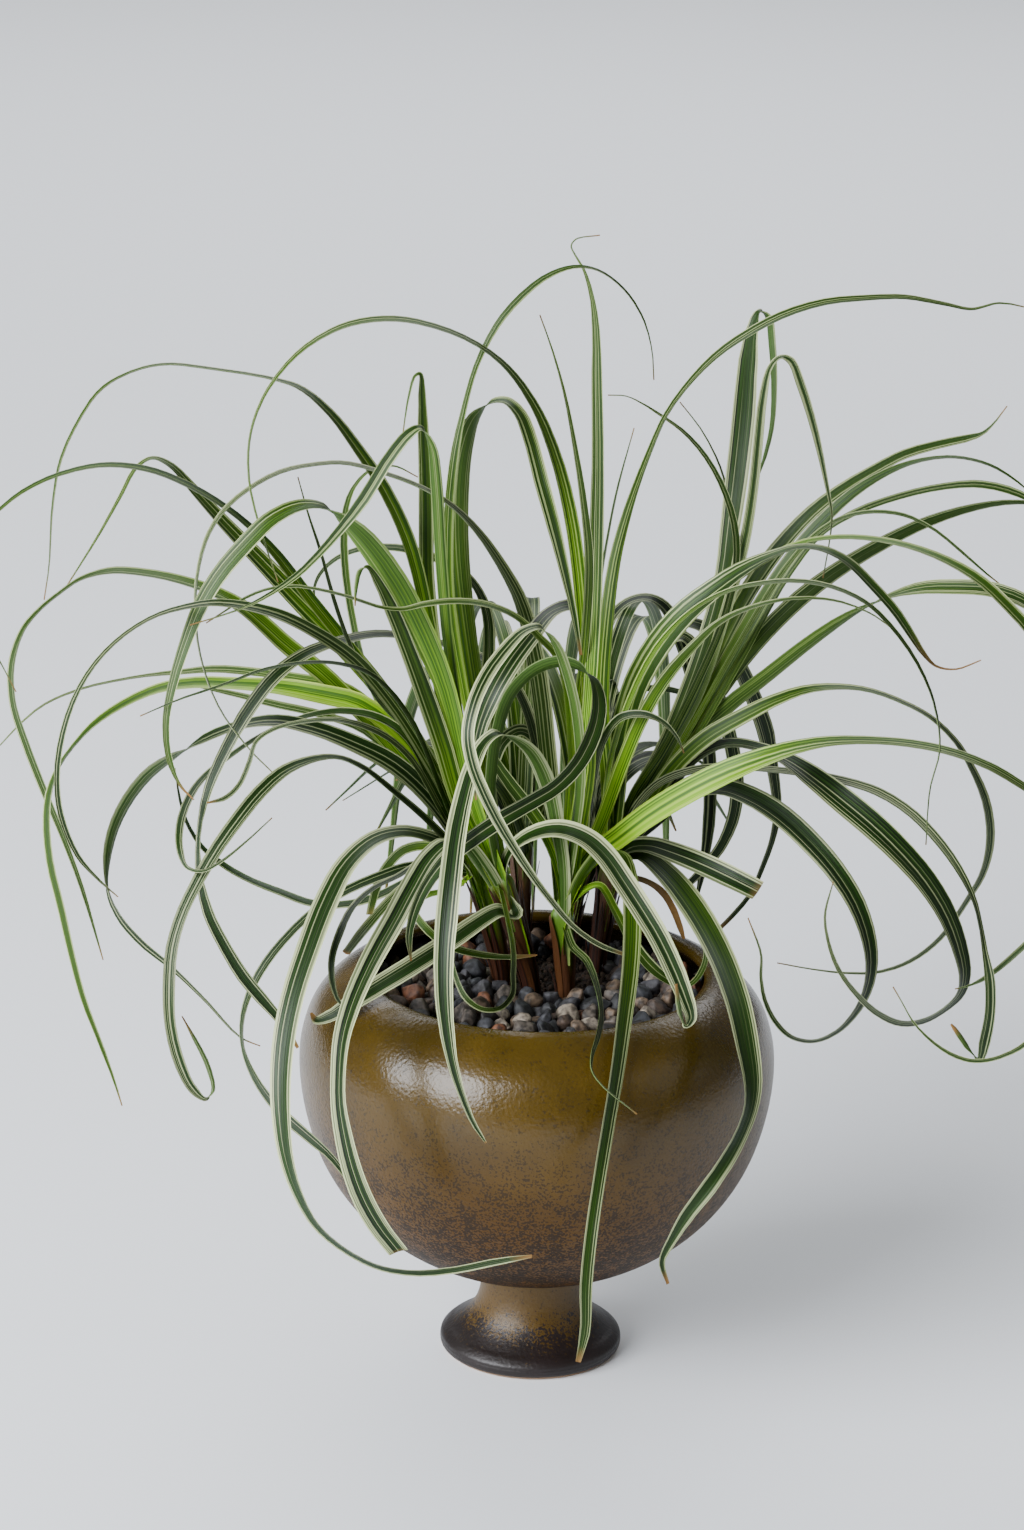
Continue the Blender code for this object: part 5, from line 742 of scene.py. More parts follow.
    def fine_sections(self) -> list:
        """Give close sections: place, width and face directions, half width, length."""
        along = [0.0]
        for near, far in zip(self.fine, self.fine[1:]):
            along.append(along[-1] + (far[0] - near[0]).length)
        stations = self.lengths()
        places = []
        for (place, _), length in zip(self.fine, along):
            push = self.shift_at(length, stations)
            places.append(place + (place - VIEW_PLACE).normalized() * push)
        last = len(places) - 1
        picks, spent = [0], 0.0
        for index in range(1, last):
            before, after = places[index] - places[index - 1], places[index + 1] - places[index]
            spent += before.length / FINE_LENGTH
            if before.length > 1e-6 and after.length > 1e-6:
                spent += before.angle(after) / FINE_TURN
            if spent >= 1.0:
                picks.append(index)
                spent = 0.0
        picks.append(last)
        rows = []
        for index in picks:
            place = places[index]
            near, far = places[max(index - 2, 0)], places[min(index + 2, last)]
            tangent = (far - near).normalized()
            view = (place - VIEW_PLACE).normalized()
            seen = self.fine[index][1]
            share = along[index] / along[-1]
            real = self.fine_width(share, seen)
            if self.flat:
                wide = (self.flat - tangent * self.flat.dot(tangent)).normalized()
            else:
                upright = (tangent.cross(view) * self.side).normalized()
                away = (view - tangent * view.dot(tangent)).normalized()
                turn = math.acos(min(max(seen / real, -1.0), 1.0))
                wide = upright * math.cos(turn) + away * math.sin(turn)
            rows.append([place, wide, tangent, real / 2, along[index]])
        for _ in range(2):
            wides = [row[1] for row in rows]
            for order in range(1, len(rows) - 1):
                mean = wides[order - 1] + wides[order] * 2 + wides[order + 1]
                tangent = rows[order][2]
                rows[order][1] = (mean - tangent * mean.dot(tangent)).normalized()
        sign = 1.0 if self.flat else self.side
        return [(place, wide, (tangent.cross(wide) * sign).normalized(), half, length)
                for place, wide, tangent, half, length in rows]

    def fine_width(self, share: float, seen: float) -> float:
        """Give the real width, down to a thread at the tip."""
        root = 0.6 + 0.4 * smooth_step(share / 0.16)
        taper = 1.0 - 0.97 * max(0.0, (share - TAPER_START) / (1.0 - TAPER_START)) ** 1.15
        if self.blunt:
            taper = 1.0
        return max(self.widest * root * taper, abs(seen) * 1.02, 0.45)


def grow():
    """Make every leaf's ribbon, the read ones first and then the hidden ones."""
    shoots = {shoot.name: shoot for shoot in SHOOTS}
    read = LEFT_LEAVES + MIDDLE_LEAVES
    ribbons = []
    for name, shoot in shoots.items():
        mine = [leaf for leaf in read if leaf.shoot == name]
        for order, leaf in enumerate(mine):
            points = traced_points(leaf, shoot, order / max(len(mine) - 1, 1), order)
            ribbons.append(Ribbon(name, points, turn_side(leaf), leaf.blunt, None))
    draw = random.Random(SEED)
    for row in HIDDEN_ROWS:
        for order in range(row[1]):
            points, across = hidden_points(shoots[row[0]], row, order, draw)
            ribbons.append(Ribbon(row[0], points, 1.0, False, across))
    return ribbons


def sheath_solid(shoot, extra=0.0):
    """Give a shoot's sheath as a tapered tube with a round end."""
    line = sheath_curve(shoot)
    foot, mouth, half, crown = line
    over = crown + (crown - half).normalized() * (shoot.crown_radius * 2)
    rings = ((foot, SHEATH_RADIUS), (mouth, SHEATH_RADIUS), (half, SHEATH_RADIUS * 0.86),
             (crown, shoot.crown_radius), (over, shoot.crown_radius * 0.5))
    vertices, faces = [], []
    for order, (place, radius) in enumerate(rings):
        if order < 2:
            along = Vector((0.0, 0.0, 1.0))
        else:
            along = (crown - mouth).normalized()
        across = along.cross(Vector((0.0, 1.0, 0.0))).normalized()
        inward = along.cross(across)
        for side in range(SHEATH_SIDES):
            turn = 2 * math.pi * side / SHEATH_SIDES
            vertices.append(place + (across * math.cos(turn) + inward * math.sin(turn))
                            * (radius + extra))
    for order in range(len(rings) - 1):
        for side in range(SHEATH_SIDES):
            after = (side + 1) % SHEATH_SIDES
            low, high = order * SHEATH_SIDES, (order + 1) * SHEATH_SIDES
            faces.append((low + side, low + after, high + after, high + side))
    faces.append(tuple(range(SHEATH_SIDES - 1, -1, -1)))
    faces.append(tuple((len(rings) - 1) * SHEATH_SIDES + side for side in range(SHEATH_SIDES)))
    return vertices, faces


def part_leaves(ribbons):
    """Move leaves that cross apart along the sight lines, smoothly and in small steps.

    Leaves of one shoot may touch near their roots. Returns how many pairs still
    cross when the rounds are spent.
    """
    sheaths = [(shoot.name, BVHTree.FromPolygons(*sheath_solid(shoot, PART_MARGIN)))
               for shoot in SHOOTS]
    order_of, stuck = {}, {}
    left = 0
    lengths = [ribbon.lengths() for ribbon in ribbons]
    for turn in range(PART_ROUNDS):
        trees, boxes = [], []
        for ribbon in ribbons:
            vertices, faces = ribbon.solid(PART_MARGIN / 2)
            trees.append(BVHTree.FromPolygons(vertices, faces))
            boxes.append([(min(v[k] for v in vertices), max(v[k] for v in vertices))
                          for k in range(3)])
        pushes = [[] for _ in ribbons]
        left = 0
        for first in range(len(ribbons)):
            for second in range(first + 1, len(ribbons)):
                if any(boxes[first][k][0] > boxes[second][k][1]
                       or boxes[second][k][0] > boxes[first][k][1] for k in range(3)):
                    continue
                same = ribbons[first].shoot == ribbons[second].shoot
                if same and turn > PART_ROUNDS * 0.7:
                    continue
                hits = [(a // 3, b // 3) for a, b in trees[first].overlap(trees[second])]
                hits = [(min(a, len(lengths[first]) - 1), min(b, len(lengths[second]) - 1))
                        for a, b in hits]
                if same:
                    hits = [(a, b) for a, b in hits if lengths[first][a] > ROOT_ZONE
                            and lengths[second][b] > ROOT_ZONE]
                if not hits:
                    continue
                left += 1
                near = sum(lengths[first][a] for a, _ in hits) / len(hits)
                far = sum(lengths[second][b] for _, b in hits) / len(hits)
                key = (first, second, round(near / 60.0))
                if key not in order_of:
                    order_of[key] = crossing_order(ribbons, first, second, hits)
                stuck[key] = stuck.get(key, 0) + 1
                if stuck[key] % PART_PATIENCE == 0:
                    order_of[key] = -order_of[key]
                pushes[first].append((near, -order_of[key]))
                pushes[second].append((far, order_of[key]))
        for index, ribbon in enumerate(ribbons):
            for name, tree in sheaths:
                if name == ribbon.shoot:
                    continue
                hits = [min(a // 3, len(lengths[index]) - 1) for a, _ in trees[index].overlap(tree)]
                if hits:
                    left += 1
                    at = sum(lengths[index][a] for a in hits) / len(hits)
                    place = ribbon.places()[round(sum(hits) / len(hits))]
                    shoot = next(item for item in SHOOTS if item.name == name)
                    pushes[index].append((at, -1.6 if place.y < shoot.plan[1] else 1.6))
        if not left:
            break
        for index, ribbon in enumerate(ribbons):
            for at, way in pushes[index]:
                for station, length in enumerate(lengths[index]):
                    hold = smooth_step(length / 30.0)
                    bump = math.exp(-((length - at) / PART_REACH) ** 2)
                    ribbon.shift[station] += way * PART_STEP / 2 * bump * hold
    return left


def crossing_order(ribbons, first, second, hits):
    """Say which of two crossing leaves lies nearer the view: 1 for the first."""
    first_depth = second_depth = 0.0
    first_places, second_places = ribbons[first].places(), ribbons[second].places()
    for a, b in hits:
        first_depth += (first_places[a] - VIEW_PLACE).length
        second_depth += (second_places[b] - VIEW_PLACE).length
    return 1.0 if first_depth <= second_depth else -1.0


class Slot(Enum):
    """The record's material slots."""
    GLAZE = "glaze"
    SOIL = "soil"
    GRAVEL = "gravel"
    LEAF = "leaf"


@dataclass(frozen=True)
class LeafFinish:
    """Colours and gloss of a variegated leaf."""
    dark: str = "#081404"
    mid: str = "#1B3408"
    # The yellow-green colours below are new growth, made brighter to paint light shining through the
    # leaf
    fresh: str = "#82B20C"
    fresh_backlit_dark: str = "#3A6408"
    margin: str = "#BEC694"
    margin_fresh_backlit: str = "#AEC63C"
    under: str = "#3E5A20"
    dry: str = "#7A5A30"
    roughness: float = 0.4


@dataclass(frozen=True)
class SheathFinish:
    """Colours of a shoot's foot, from the soil up to the crown."""
    low: str = "#150B06"
    middle: str = "#553213"
    high: str = "#4F7214"
    scale: str = "#4A2410"
    roughness: float = 0.5


@dataclass(frozen=True)
class GlazeFinish:
    """Colours of the stoneware glaze from bowl to foot."""
    bowl: str = "#3A2C04"
    bowl_light: str = "#4A3806"
    neck: str = "#4C3602"
    amber: str = "#4C2E01"
    speck: str = "#0C0703"
    foot: str = "#120906"
    # A greyer tone that paints the foot's sheen, a stand-in for its reflections
    foot_painted_sheen: str = "#1C1312"
    clay: str = "#8E6C48"
    inside: str = "#33260F"
    roughness: float = 0.26


@dataclass(frozen=True)
class StoneFinish:
    """Colours that the gravel's stones are drawn from."""
    tones: tuple = ("#2B2C2E", "#47464A", "#5E554C", "#2C2826", "#76492E", "#3A3B40", "#968A7A",
                    "#54453A", "#34363A", "#6C5A48")
    roughness: float = 0.62


def linear(code: str) -> tuple:
    """Turn an sRGB hex colour into a linear one.

    Args:
        code: The colour as #RRGGBB.

    Returns:
        Red, green, blue and an alpha of 1.
    """
    parts = [int(code[start:start + 2], 16) / 255 for start in (1, 3, 5)]
    return (*[part / 12.92 if part <= 0.04045 else ((part + 0.055) / 1.055) ** 2.4
              for part in parts], 1.0)


class Graph:
    """A node tree that is filled with one call a node."""

    def __init__(self, tree: bpy.types.NodeTree) -> None:
        self.tree = tree

    def add(self, kind: str, settings: dict, feeds: dict) -> bpy.types.Node:
        """Add a node with its settings, and set or link its inputs.

        Args:
            kind: The node's type name.
            settings: Property names and values.
            feeds: Input names or numbers, and the sockets or values they take.

        Returns:
            The new node.
        """
        node = self.tree.nodes.new(kind)
        for key, value in settings.items():
            setattr(node, key, value)
        for key, value in feeds.items():
            if isinstance(value, bpy.types.NodeSocket):
                self.tree.links.new(value, node.inputs[key])
            else:
                node.inputs[key].default_value = value
        return node

    def sum(self, operation: str, first, second=0.0) -> bpy.types.NodeSocket:
        """Work out one arithmetic step and return its output."""
        node = self.add("ShaderNodeMath", {"operation": operation}, {0: first, 1: second})
        return node.outputs[0]

    def blend(self, factor, first, second, mode: str = "MIX") -> bpy.types.NodeSocket:
        """Blend two colours, given as sockets or linear values."""
        node = self.add("ShaderNodeMix", {"data_type": "RGBA", "blend_type": mode},
                        {0: factor, 6: first, 7: second})
        return node.outputs[2]

    def rise(self, value, low: float, high: float) -> bpy.types.NodeSocket:
        """Rise smoothly from 0 to 1 as value goes from low to high."""
        node = self.add("ShaderNodeMapRange", {"interpolation_type": "SMOOTHSTEP"},
                        {0: value, 1: low, 2: high, 3: 0.0, 4: 1.0})
        return node.outputs[0]

    def noise(self, vector, scale: float, detail: float = 2.0) -> bpy.types.NodeSocket:
        """Give the value of a noise pattern."""
        node = self.add("ShaderNodeTexNoise", {}, {"Vector": vector, "Scale": scale,
                                                   "Detail": detail})
        return node.outputs["Fac"]

    def read(self, name: str) -> bpy.types.NodeSocket:
        """Read a number that the mesh holds."""
        return self.add("ShaderNodeAttribute", {"attribute_name": name}, {}).outputs["Fac"]

    def bump(self, height, strength: float, distance: float) -> bpy.types.NodeSocket:
        """Give a normal that a height pattern disturbs."""
        return self.add("ShaderNodeBump", {}, {"Height": height, "Strength": strength,
                                               "Distance": distance}).outputs[0]


def start_material(name: str, roughness: float) -> tuple:
    """Make a material, and return it with its graph and its shader's inputs."""
    material = bpy.data.materials.new(name)
    material.use_nodes = True
    shader = material.node_tree.nodes["Principled BSDF"]
    shader.inputs["Roughness"].default_value = roughness
    return material, Graph(material.node_tree), shader.inputs


def leaf_material(finish: LeafFinish) -> bpy.types.Material:
    """Living sedge leaf: a dark glossy middle, pale margins and fine lines along it."""
    material, graph, shader = start_material("sedge_leaf", finish.roughness)
    links = graph.tree.links
    spot = graph.add("ShaderNodeUVMap", {"uv_map": "leaf"}, {}).outputs[0]
    parts = graph.add("ShaderNodeSeparateXYZ", {}, {0: spot})
    across, along = parts.outputs[0], parts.outputs[1]
    tone, fresh = graph.read("tone"), graph.read("fresh")
    dry, under = graph.read("dry"), graph.read("under")
    offset = graph.sum("MULTIPLY", tone, 37.0)

    def lines_of(count: float, stretch: float, detail: float) -> bpy.types.NodeSocket:
        """Give lines along the leaf, count of them across it."""
        at = graph.add("ShaderNodeCombineXYZ", {}, {
            0: graph.sum("ADD", graph.sum("MULTIPLY", across, count), offset),
            1: graph.sum("MULTIPLY", along, stretch), 2: offset}).outputs[0]
        return graph.noise(at, 1.0, detail)

    broad, thin, rib = lines_of(4.0, 0.35, 1.0), lines_of(13.0, 0.2, 0.0), lines_of(34.0, 0.2, 0.0)
    away = graph.sum("MULTIPLY", graph.sum("ABSOLUTE", graph.sum("SUBTRACT", across, 0.5)), 2.0)
    drift = graph.sum("ADD", graph.sum("MULTIPLY", graph.sum("SUBTRACT", broad, 0.5), 0.6),
                      graph.sum("MULTIPLY", graph.sum("SUBTRACT", graph.read("rim"), 0.85), 0.34))
    ramp = graph.add("ShaderNodeValToRGB", {}, {0: graph.sum("ADD", away, drift)})
    shares = ((0.60, 0.0), (0.64, 0.8), (0.68, 0.8), (0.72, 0.15), (0.80, 0.3), (0.87, 1.0))
    ramp.color_ramp.elements[0].position, ramp.color_ramp.elements[1].position = 0.0, 1.0
    ramp.color_ramp.elements[0].color = (0.0, 0.0, 0.0, 1.0)
    for place, share in shares:
        ramp.color_ramp.elements.new(place).color = (share, share, share, 1.0)
    hair = graph.sum("MULTIPLY", graph.rise(thin, 0.63, 0.7), 0.42)
    pale = graph.sum("MAXIMUM", graph.sum("MULTIPLY", ramp.outputs[0], 0.88), hair)
    body = graph.blend(graph.rise(rib, 0.36, 0.62), linear(finish.dark), linear(finish.mid))
    # New-growth yellow-green, brightened as painted light shining through the leaf; it takes over where
    # fresh is high
    young_and_backlit = graph.blend(graph.rise(thin, 0.36, 0.58), linear(finish.fresh_backlit_dark),
                        linear(finish.fresh))
    body = graph.blend(fresh, body, young_and_backlit)
    rim = graph.blend(fresh, linear(finish.margin), linear(finish.margin_fresh_backlit))
    upper = graph.blend(pale, body, rim)
    lower = graph.blend(graph.rise(rib, 0.3, 0.7), linear(finish.under), linear(finish.mid))
    lower = graph.blend(graph.sum("MULTIPLY", pale, 0.6), lower, rim)
    lower = graph.blend(graph.sum("MULTIPLY", fresh, 0.6), lower, young_and_backlit)
    colour = graph.blend(under, upper, lower)
    colour = graph.blend(dry, colour, linear(finish.dry))
    links.new(colour, shader["Base Color"])
    links.new(graph.bump(rib, 0.3, 0.0004), shader["Normal"])
    shader["Specular IOR Level"].default_value = 0.22
    rough = graph.sum("ADD", graph.sum("MULTIPLY", under, 0.12), finish.roughness)
    links.new(graph.sum("ADD", rough, graph.sum("MULTIPLY", dry, 0.3)), shader["Roughness"])
    return material


def sheath_material(finish: SheathFinish) -> bpy.types.Material:
    """Leaf sheath: dark and papery at the soil, orange-brown above and green at the crown."""
    material, graph, shader = start_material("sedge_sheath", finish.roughness)
    links = graph.tree.links
    spot = graph.add("ShaderNodeUVMap", {"uv_map": "leaf"}, {}).outputs[0]
    stretched = graph.add("ShaderNodeMapping", {}, {0: spot, 3: (14.0, 1.6, 1.0)}).outputs[0]
    tone = graph.read("tone")
    shifted = graph.add("ShaderNodeVectorMath", {"operation": "ADD"},
                        {0: stretched, 1: graph.sum("MULTIPLY", tone, 23.0)}).outputs[0]
    grain = graph.noise(shifted, 1.0, 3.0)
    up = graph.sum("ADD", graph.read("fresh"),
                   graph.sum("MULTIPLY", graph.sum("SUBTRACT", grain, 0.5), 0.5))
    low = graph.blend(graph.rise(up, 0.1, 0.42), linear(finish.low), linear(finish.middle))
    stem = graph.blend(graph.rise(up, 0.46, 0.74), low, linear(finish.high))
    dead = graph.blend(graph.rise(grain, 0.35, 0.65), linear(finish.low), linear(finish.scale))
    dead = graph.blend(graph.rise(tone, 0.55, 0.95), dead, linear(finish.middle))
    links.new(graph.blend(graph.read("dry"), stem, dead), shader["Base Color"])
    links.new(graph.bump(grain, 0.5, 0.0006), shader["Normal"])
    return material


def glaze_material(finish: GlazeFinish) -> bpy.types.Material:
    """Stoneware glaze: olive-brown and glossy, with fine dark specks that thicken downwards."""
    material, graph, shader = start_material("stoneware_glaze", finish.roughness)
    links = graph.tree.links
    place = graph.add("ShaderNodeTexCoord", {}, {}).outputs["Object"]
    height = graph.add("ShaderNodeSeparateXYZ", {}, {0: place}).outputs[2]
    cloud = graph.noise(place, 30.0, 3.0)
    grain = graph.noise(place, 1150.0, 2.0)
    patch = graph.noise(place, 210.0, 3.0)
    low = graph.sum("SUBTRACT", 1.0, graph.rise(height, 0.036, 0.136))
    neck = graph.sum("SUBTRACT", 1.0, graph.rise(height, 0.031, 0.037))
    base = graph.blend(graph.rise(cloud, 0.35, 0.68), linear(finish.bowl),
                       linear(finish.bowl_light))
    base = graph.blend(low, base, linear(finish.amber))
    base = graph.blend(neck, base, linear(finish.neck))
    wear = graph.sum("MULTIPLY", low, graph.sum("SUBTRACT", 1.0, neck))
    start = graph.sum("SUBTRACT", 0.6, graph.sum("MULTIPLY", wear, 0.16))
    mixed = graph.sum("ADD", graph.sum("MULTIPLY", grain, 0.7), graph.sum("MULTIPLY", patch, 0.3))
    speck = graph.rise(graph.sum("SUBTRACT", mixed, start), -0.02, 0.03)
    speck = graph.sum("MULTIPLY", speck, graph.sum("ADD", graph.sum("MULTIPLY", wear, 0.4), 0.5))
    glazed = graph.blend(speck, base, linear(finish.speck))
    ragged = graph.sum("MULTIPLY", graph.sum("SUBTRACT", mixed, 0.5), 0.045)
    above_foot = graph.rise(graph.sum("ADD", height, ragged), 0.0125, 0.0150)
    flat = graph.add("ShaderNodeVectorMath", {"operation": "MULTIPLY"},
                     {0: place, 1: (1.0, 1.0, 0.0)}).outputs[0]
    radius = graph.add("ShaderNodeVectorMath", {"operation": "LENGTH"}, {0: flat}).outputs["Value"]
    rings = graph.sum("SINE", graph.sum("MULTIPLY", graph.sum("ADD", radius, height), 5200.0))
    # Painted sheen: greyer patches on the dark foot stand in for its reflections
    foot = graph.blend(graph.rise(cloud, 0.4, 0.7), linear(finish.foot),
                       linear(finish.foot_painted_sheen))
    glazed = graph.blend(above_foot, foot, glazed)
    glazed = graph.blend(graph.read("inside"), glazed, linear(finish.inside))
    bare = graph.rise(height, 0.0007, 0.0014)
    links.new(graph.blend(bare, linear(finish.clay), glazed), shader["Base Color"])
    peel = graph.noise(place, 760.0, 1.0)
    grooves = graph.sum("MULTIPLY", rings, graph.sum("SUBTRACT", 1.0, above_foot))
    relief = graph.sum("ADD", graph.sum("MULTIPLY", peel, 0.55), graph.sum("MULTIPLY", grooves, 0.12))
    links.new(graph.bump(relief, 0.5, 0.0005), shader["Normal"])
    matt = graph.sum("ADD", graph.sum("MULTIPLY", low, 0.2), finish.roughness)
    links.new(graph.sum("ADD", matt, graph.sum("MULTIPLY", speck, 0.1)), shader["Roughness"])
    gleam = graph.sum("SUBTRACT", 0.44, graph.sum("MULTIPLY", wear, 0.37))
    links.new(gleam, shader["Specular IOR Level"])
    return material


def stone_material(finish: StoneFinish) -> bpy.types.Material:
    """River gravel: satin grey, brown-grey and rusty stones, each of one tone."""
    material, graph, shader = start_material("river_gravel", finish.roughness)
    links = graph.tree.links
    ramp = graph.add("ShaderNodeValToRGB", {}, {0: graph.read("tone")})
    ramp.color_ramp.interpolation = "CONSTANT"
    count = len(finish.tones)
    while len(ramp.color_ramp.elements) < count:
        ramp.color_ramp.elements.new(0.5)
    for order in range(count):
        ramp.color_ramp.elements[order].position = order / count
    for order, code in enumerate(finish.tones):
        ramp.color_ramp.elements[order].color = linear(code)
    place = graph.add("ShaderNodeTexCoord", {}, {}).outputs["Object"]
    mottle = graph.noise(place, 420.0, 5.0)
    shade = graph.blend(graph.rise(mottle, 0.35, 0.65), linear("#7C7874"), linear("#FFFFFF"))
    links.new(graph.blend(1.0, ramp.outputs[0], shade, "MULTIPLY"), shader["Base Color"])
    links.new(graph.bump(mottle, 0.5, 0.0007), shader["Normal"])
    return material


def soil_material() -> bpy.types.Material:
    """Damp potting soil: near black and crumbly."""
    material, graph, shader = start_material("potting_soil", 0.95)
    place = graph.add("ShaderNodeTexCoord", {}, {}).outputs["Object"]
    crumb = graph.noise(place, 380.0, 5.0)
    colour = graph.blend(graph.rise(crumb, 0.3, 0.7), linear("#120C08"), linear("#3A2A1C"))
    graph.tree.links.new(colour, shader["Base Color"])
    graph.tree.links.new(graph.bump(crumb, 0.9, 0.0015), shader["Normal"])
    return material


def make_piece(name: str, vertices: list, faces: list, material: bpy.types.Material,
               node: str) -> bpy.types.Object:
    """Make a smooth piece that rides on the root and stands for a CAD node.

    Args:
        name: The piece's name.
        vertices: Places in mm.
        faces: Rows of vertex numbers that wind outwards.
        material: What it is made of.
        node: The CAD node it stands for.

    Returns:
        The new object.
    """
    mesh = bpy.data.meshes.new(name)
    mesh.from_pydata([Vector(vertex) * MM for vertex in vertices], [], faces)
    mesh.materials.append(material)
    mesh.shade_smooth()
    piece = bpy.data.objects.new(name, mesh)
    bpy.context.scene.collection.objects.link(piece)
    claim(piece, node)
    return piece


def claim(piece: bpy.types.Object, node: str) -> None:
    """Let a piece ride on the root and stand for a CAD node."""
    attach(piece, "root")
    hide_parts(node)


def store(mesh: bpy.types.Mesh, name: str, values: list, domain: str = "POINT") -> None:
    """Store one number for each point or face of a mesh."""
    layer = mesh.attributes.new(name, "FLOAT", domain)
    layer.data.foreach_set("value", values)


def turn_outline(outline: list, sides: int) -> tuple:
    """Turn an outline that starts and ends on the axis into vertices and faces."""
    vertices = [Vector((0.0, 0.0, outline[0][1]))]
    for radius, height in outline[1:-1]:
        for side in range(sides):
            turn = 2 * math.pi * side / sides
            vertices.append(Vector((radius * math.cos(turn), radius * math.sin(turn), height)))
    vertices.append(Vector((0.0, 0.0, outline[-1][1])))
    rings, top = len(outline) - 2, len(vertices) - 1
    faces = []
    for side in range(sides):
        after = (side + 1) % sides
        faces.append((0, 1 + after, 1 + side))
        for ring in range(rings - 1):
            low, high = 1 + ring * sides, 1 + (ring + 1) * sides
            faces.append((low + side, low + after, high + after, high + side))
        faces.append((1 + (rings - 1) * sides + side, 1 + (rings - 1) * sides + after, top))
    return vertices, faces


def smooth_outline(points: list, steps: int) -> list:
    """Run a smooth curve through radius and height pairs."""
    rough = [(Vector((radius, 0.0, height)), 0.0) for radius, height in points]
    return [(place.x, place.z) for place, _ in smooth_curve(rough, steps)]


@dataclass
class Pot:
    """The glazed pot: foot, stem and bowl, turned as one piece."""
    sides: int = 144
    steps: int = 5

    def build(self, material: bpy.types.Material) -> bpy.types.Object:
        """Make the pot and mark its inner wall.

        Args:
            material: The glaze.

        Returns:
            The pot.
        """
        outer = smooth_outline(list(POT_OUTSIDE), self.steps)
        inner = smooth_outline([*POT_INSIDE, (0.5, POT_FLOOR)], self.steps)
        outline = [(0.0, 0.0), (24.0, 0.0), *outer, *inner[:-1], (0.0, POT_FLOOR)]
        vertices, faces = turn_outline(outline, self.sides)
        piece = make_piece("pot_body", vertices, faces, material, "pot")
        rings = len(outline) - 2
        first_inner = len(outer) + 2
        inside = [0.0]
        for ring in range(rings):
            share = smooth_step((ring - first_inner) / 4.0)
            inside += [share] * self.sides
        store(piece.data, "inside", inside + [1.0])
        return piece


@dataclass
class Soil:
    """The soil: it fills the bowl and its top is uneven."""
    sides: int = 96
    rings: int = 30
    unevenness: float = 1.1

    def build(self, material: bpy.types.Material) -> bpy.types.Object:
        """Make the soil with a rough top.

        Args:
            material: The potting soil.

        Returns:
            The soil.
        """
        rim = inner_radius(SOIL_TOP) - GAP * 1.6
        below = [(radius - GAP * 1.6, height + GAP * 0.6) for radius, height in POT_INSIDE
                 if height < SOIL_TOP - 1.0]
        top = [(rim * (1.0 - ring / self.rings), SOIL_TOP) for ring in range(self.rings)]
        outline = [(0.0, POT_FLOOR + GAP), *reversed(below), *top, (0.0, SOIL_TOP)]
        vertices, faces = turn_outline(outline, self.sides)
        draw = random.Random(3)
        for vertex in vertices:
            if vertex.z > SOIL_TOP - 0.5 and vertex.length_squared > 0:
                lump = math.sin(vertex.x * 0.31) * math.cos(vertex.y * 0.27 + 1.0)
                vertex.z += self.unevenness * (0.5 * lump + draw.uniform(-0.5, 0.4))
        return make_piece("soil_fill", vertices, faces, material, "soil")


def inner_radius(height: float) -> float:
    """Give the radius of the pot's hollow at a height."""
    line = (*POT_INSIDE, (0.0, POT_FLOOR))
    for (high_radius, high), (low_radius, low) in zip(line, line[1:]):
        if low <= height <= high and high > low:
            return low_radius + (high_radius - low_radius) * (height - low) / (high - low)
    return POT_INSIDE[0][0]


@dataclass(frozen=True)
class StoneLayer:
    """One layer of scattered lumps over a ring round the shoots."""
    name: str
    node: str
    slot: Slot
    height: float
    outer: float
    hole: float
    spacing: float
    size: float
    rounding: int
    seed: int


LAYERS = (
    StoneLayer("gravel_lower", "gravel", Slot.GRAVEL, 129.0, 65.0, 22.5, 5.6, 4.6, 1, 3),
    StoneLayer("gravel_upper", "gravel", Slot.GRAVEL, 132.0, 62.0, 26.5, 7.2, 5.7, 2, 8),
    StoneLayer("soil_crumbs", "soil", Slot.SOIL, 127.6, 26.0, 0.0, 2.5, 1.9, 1, 5),
)


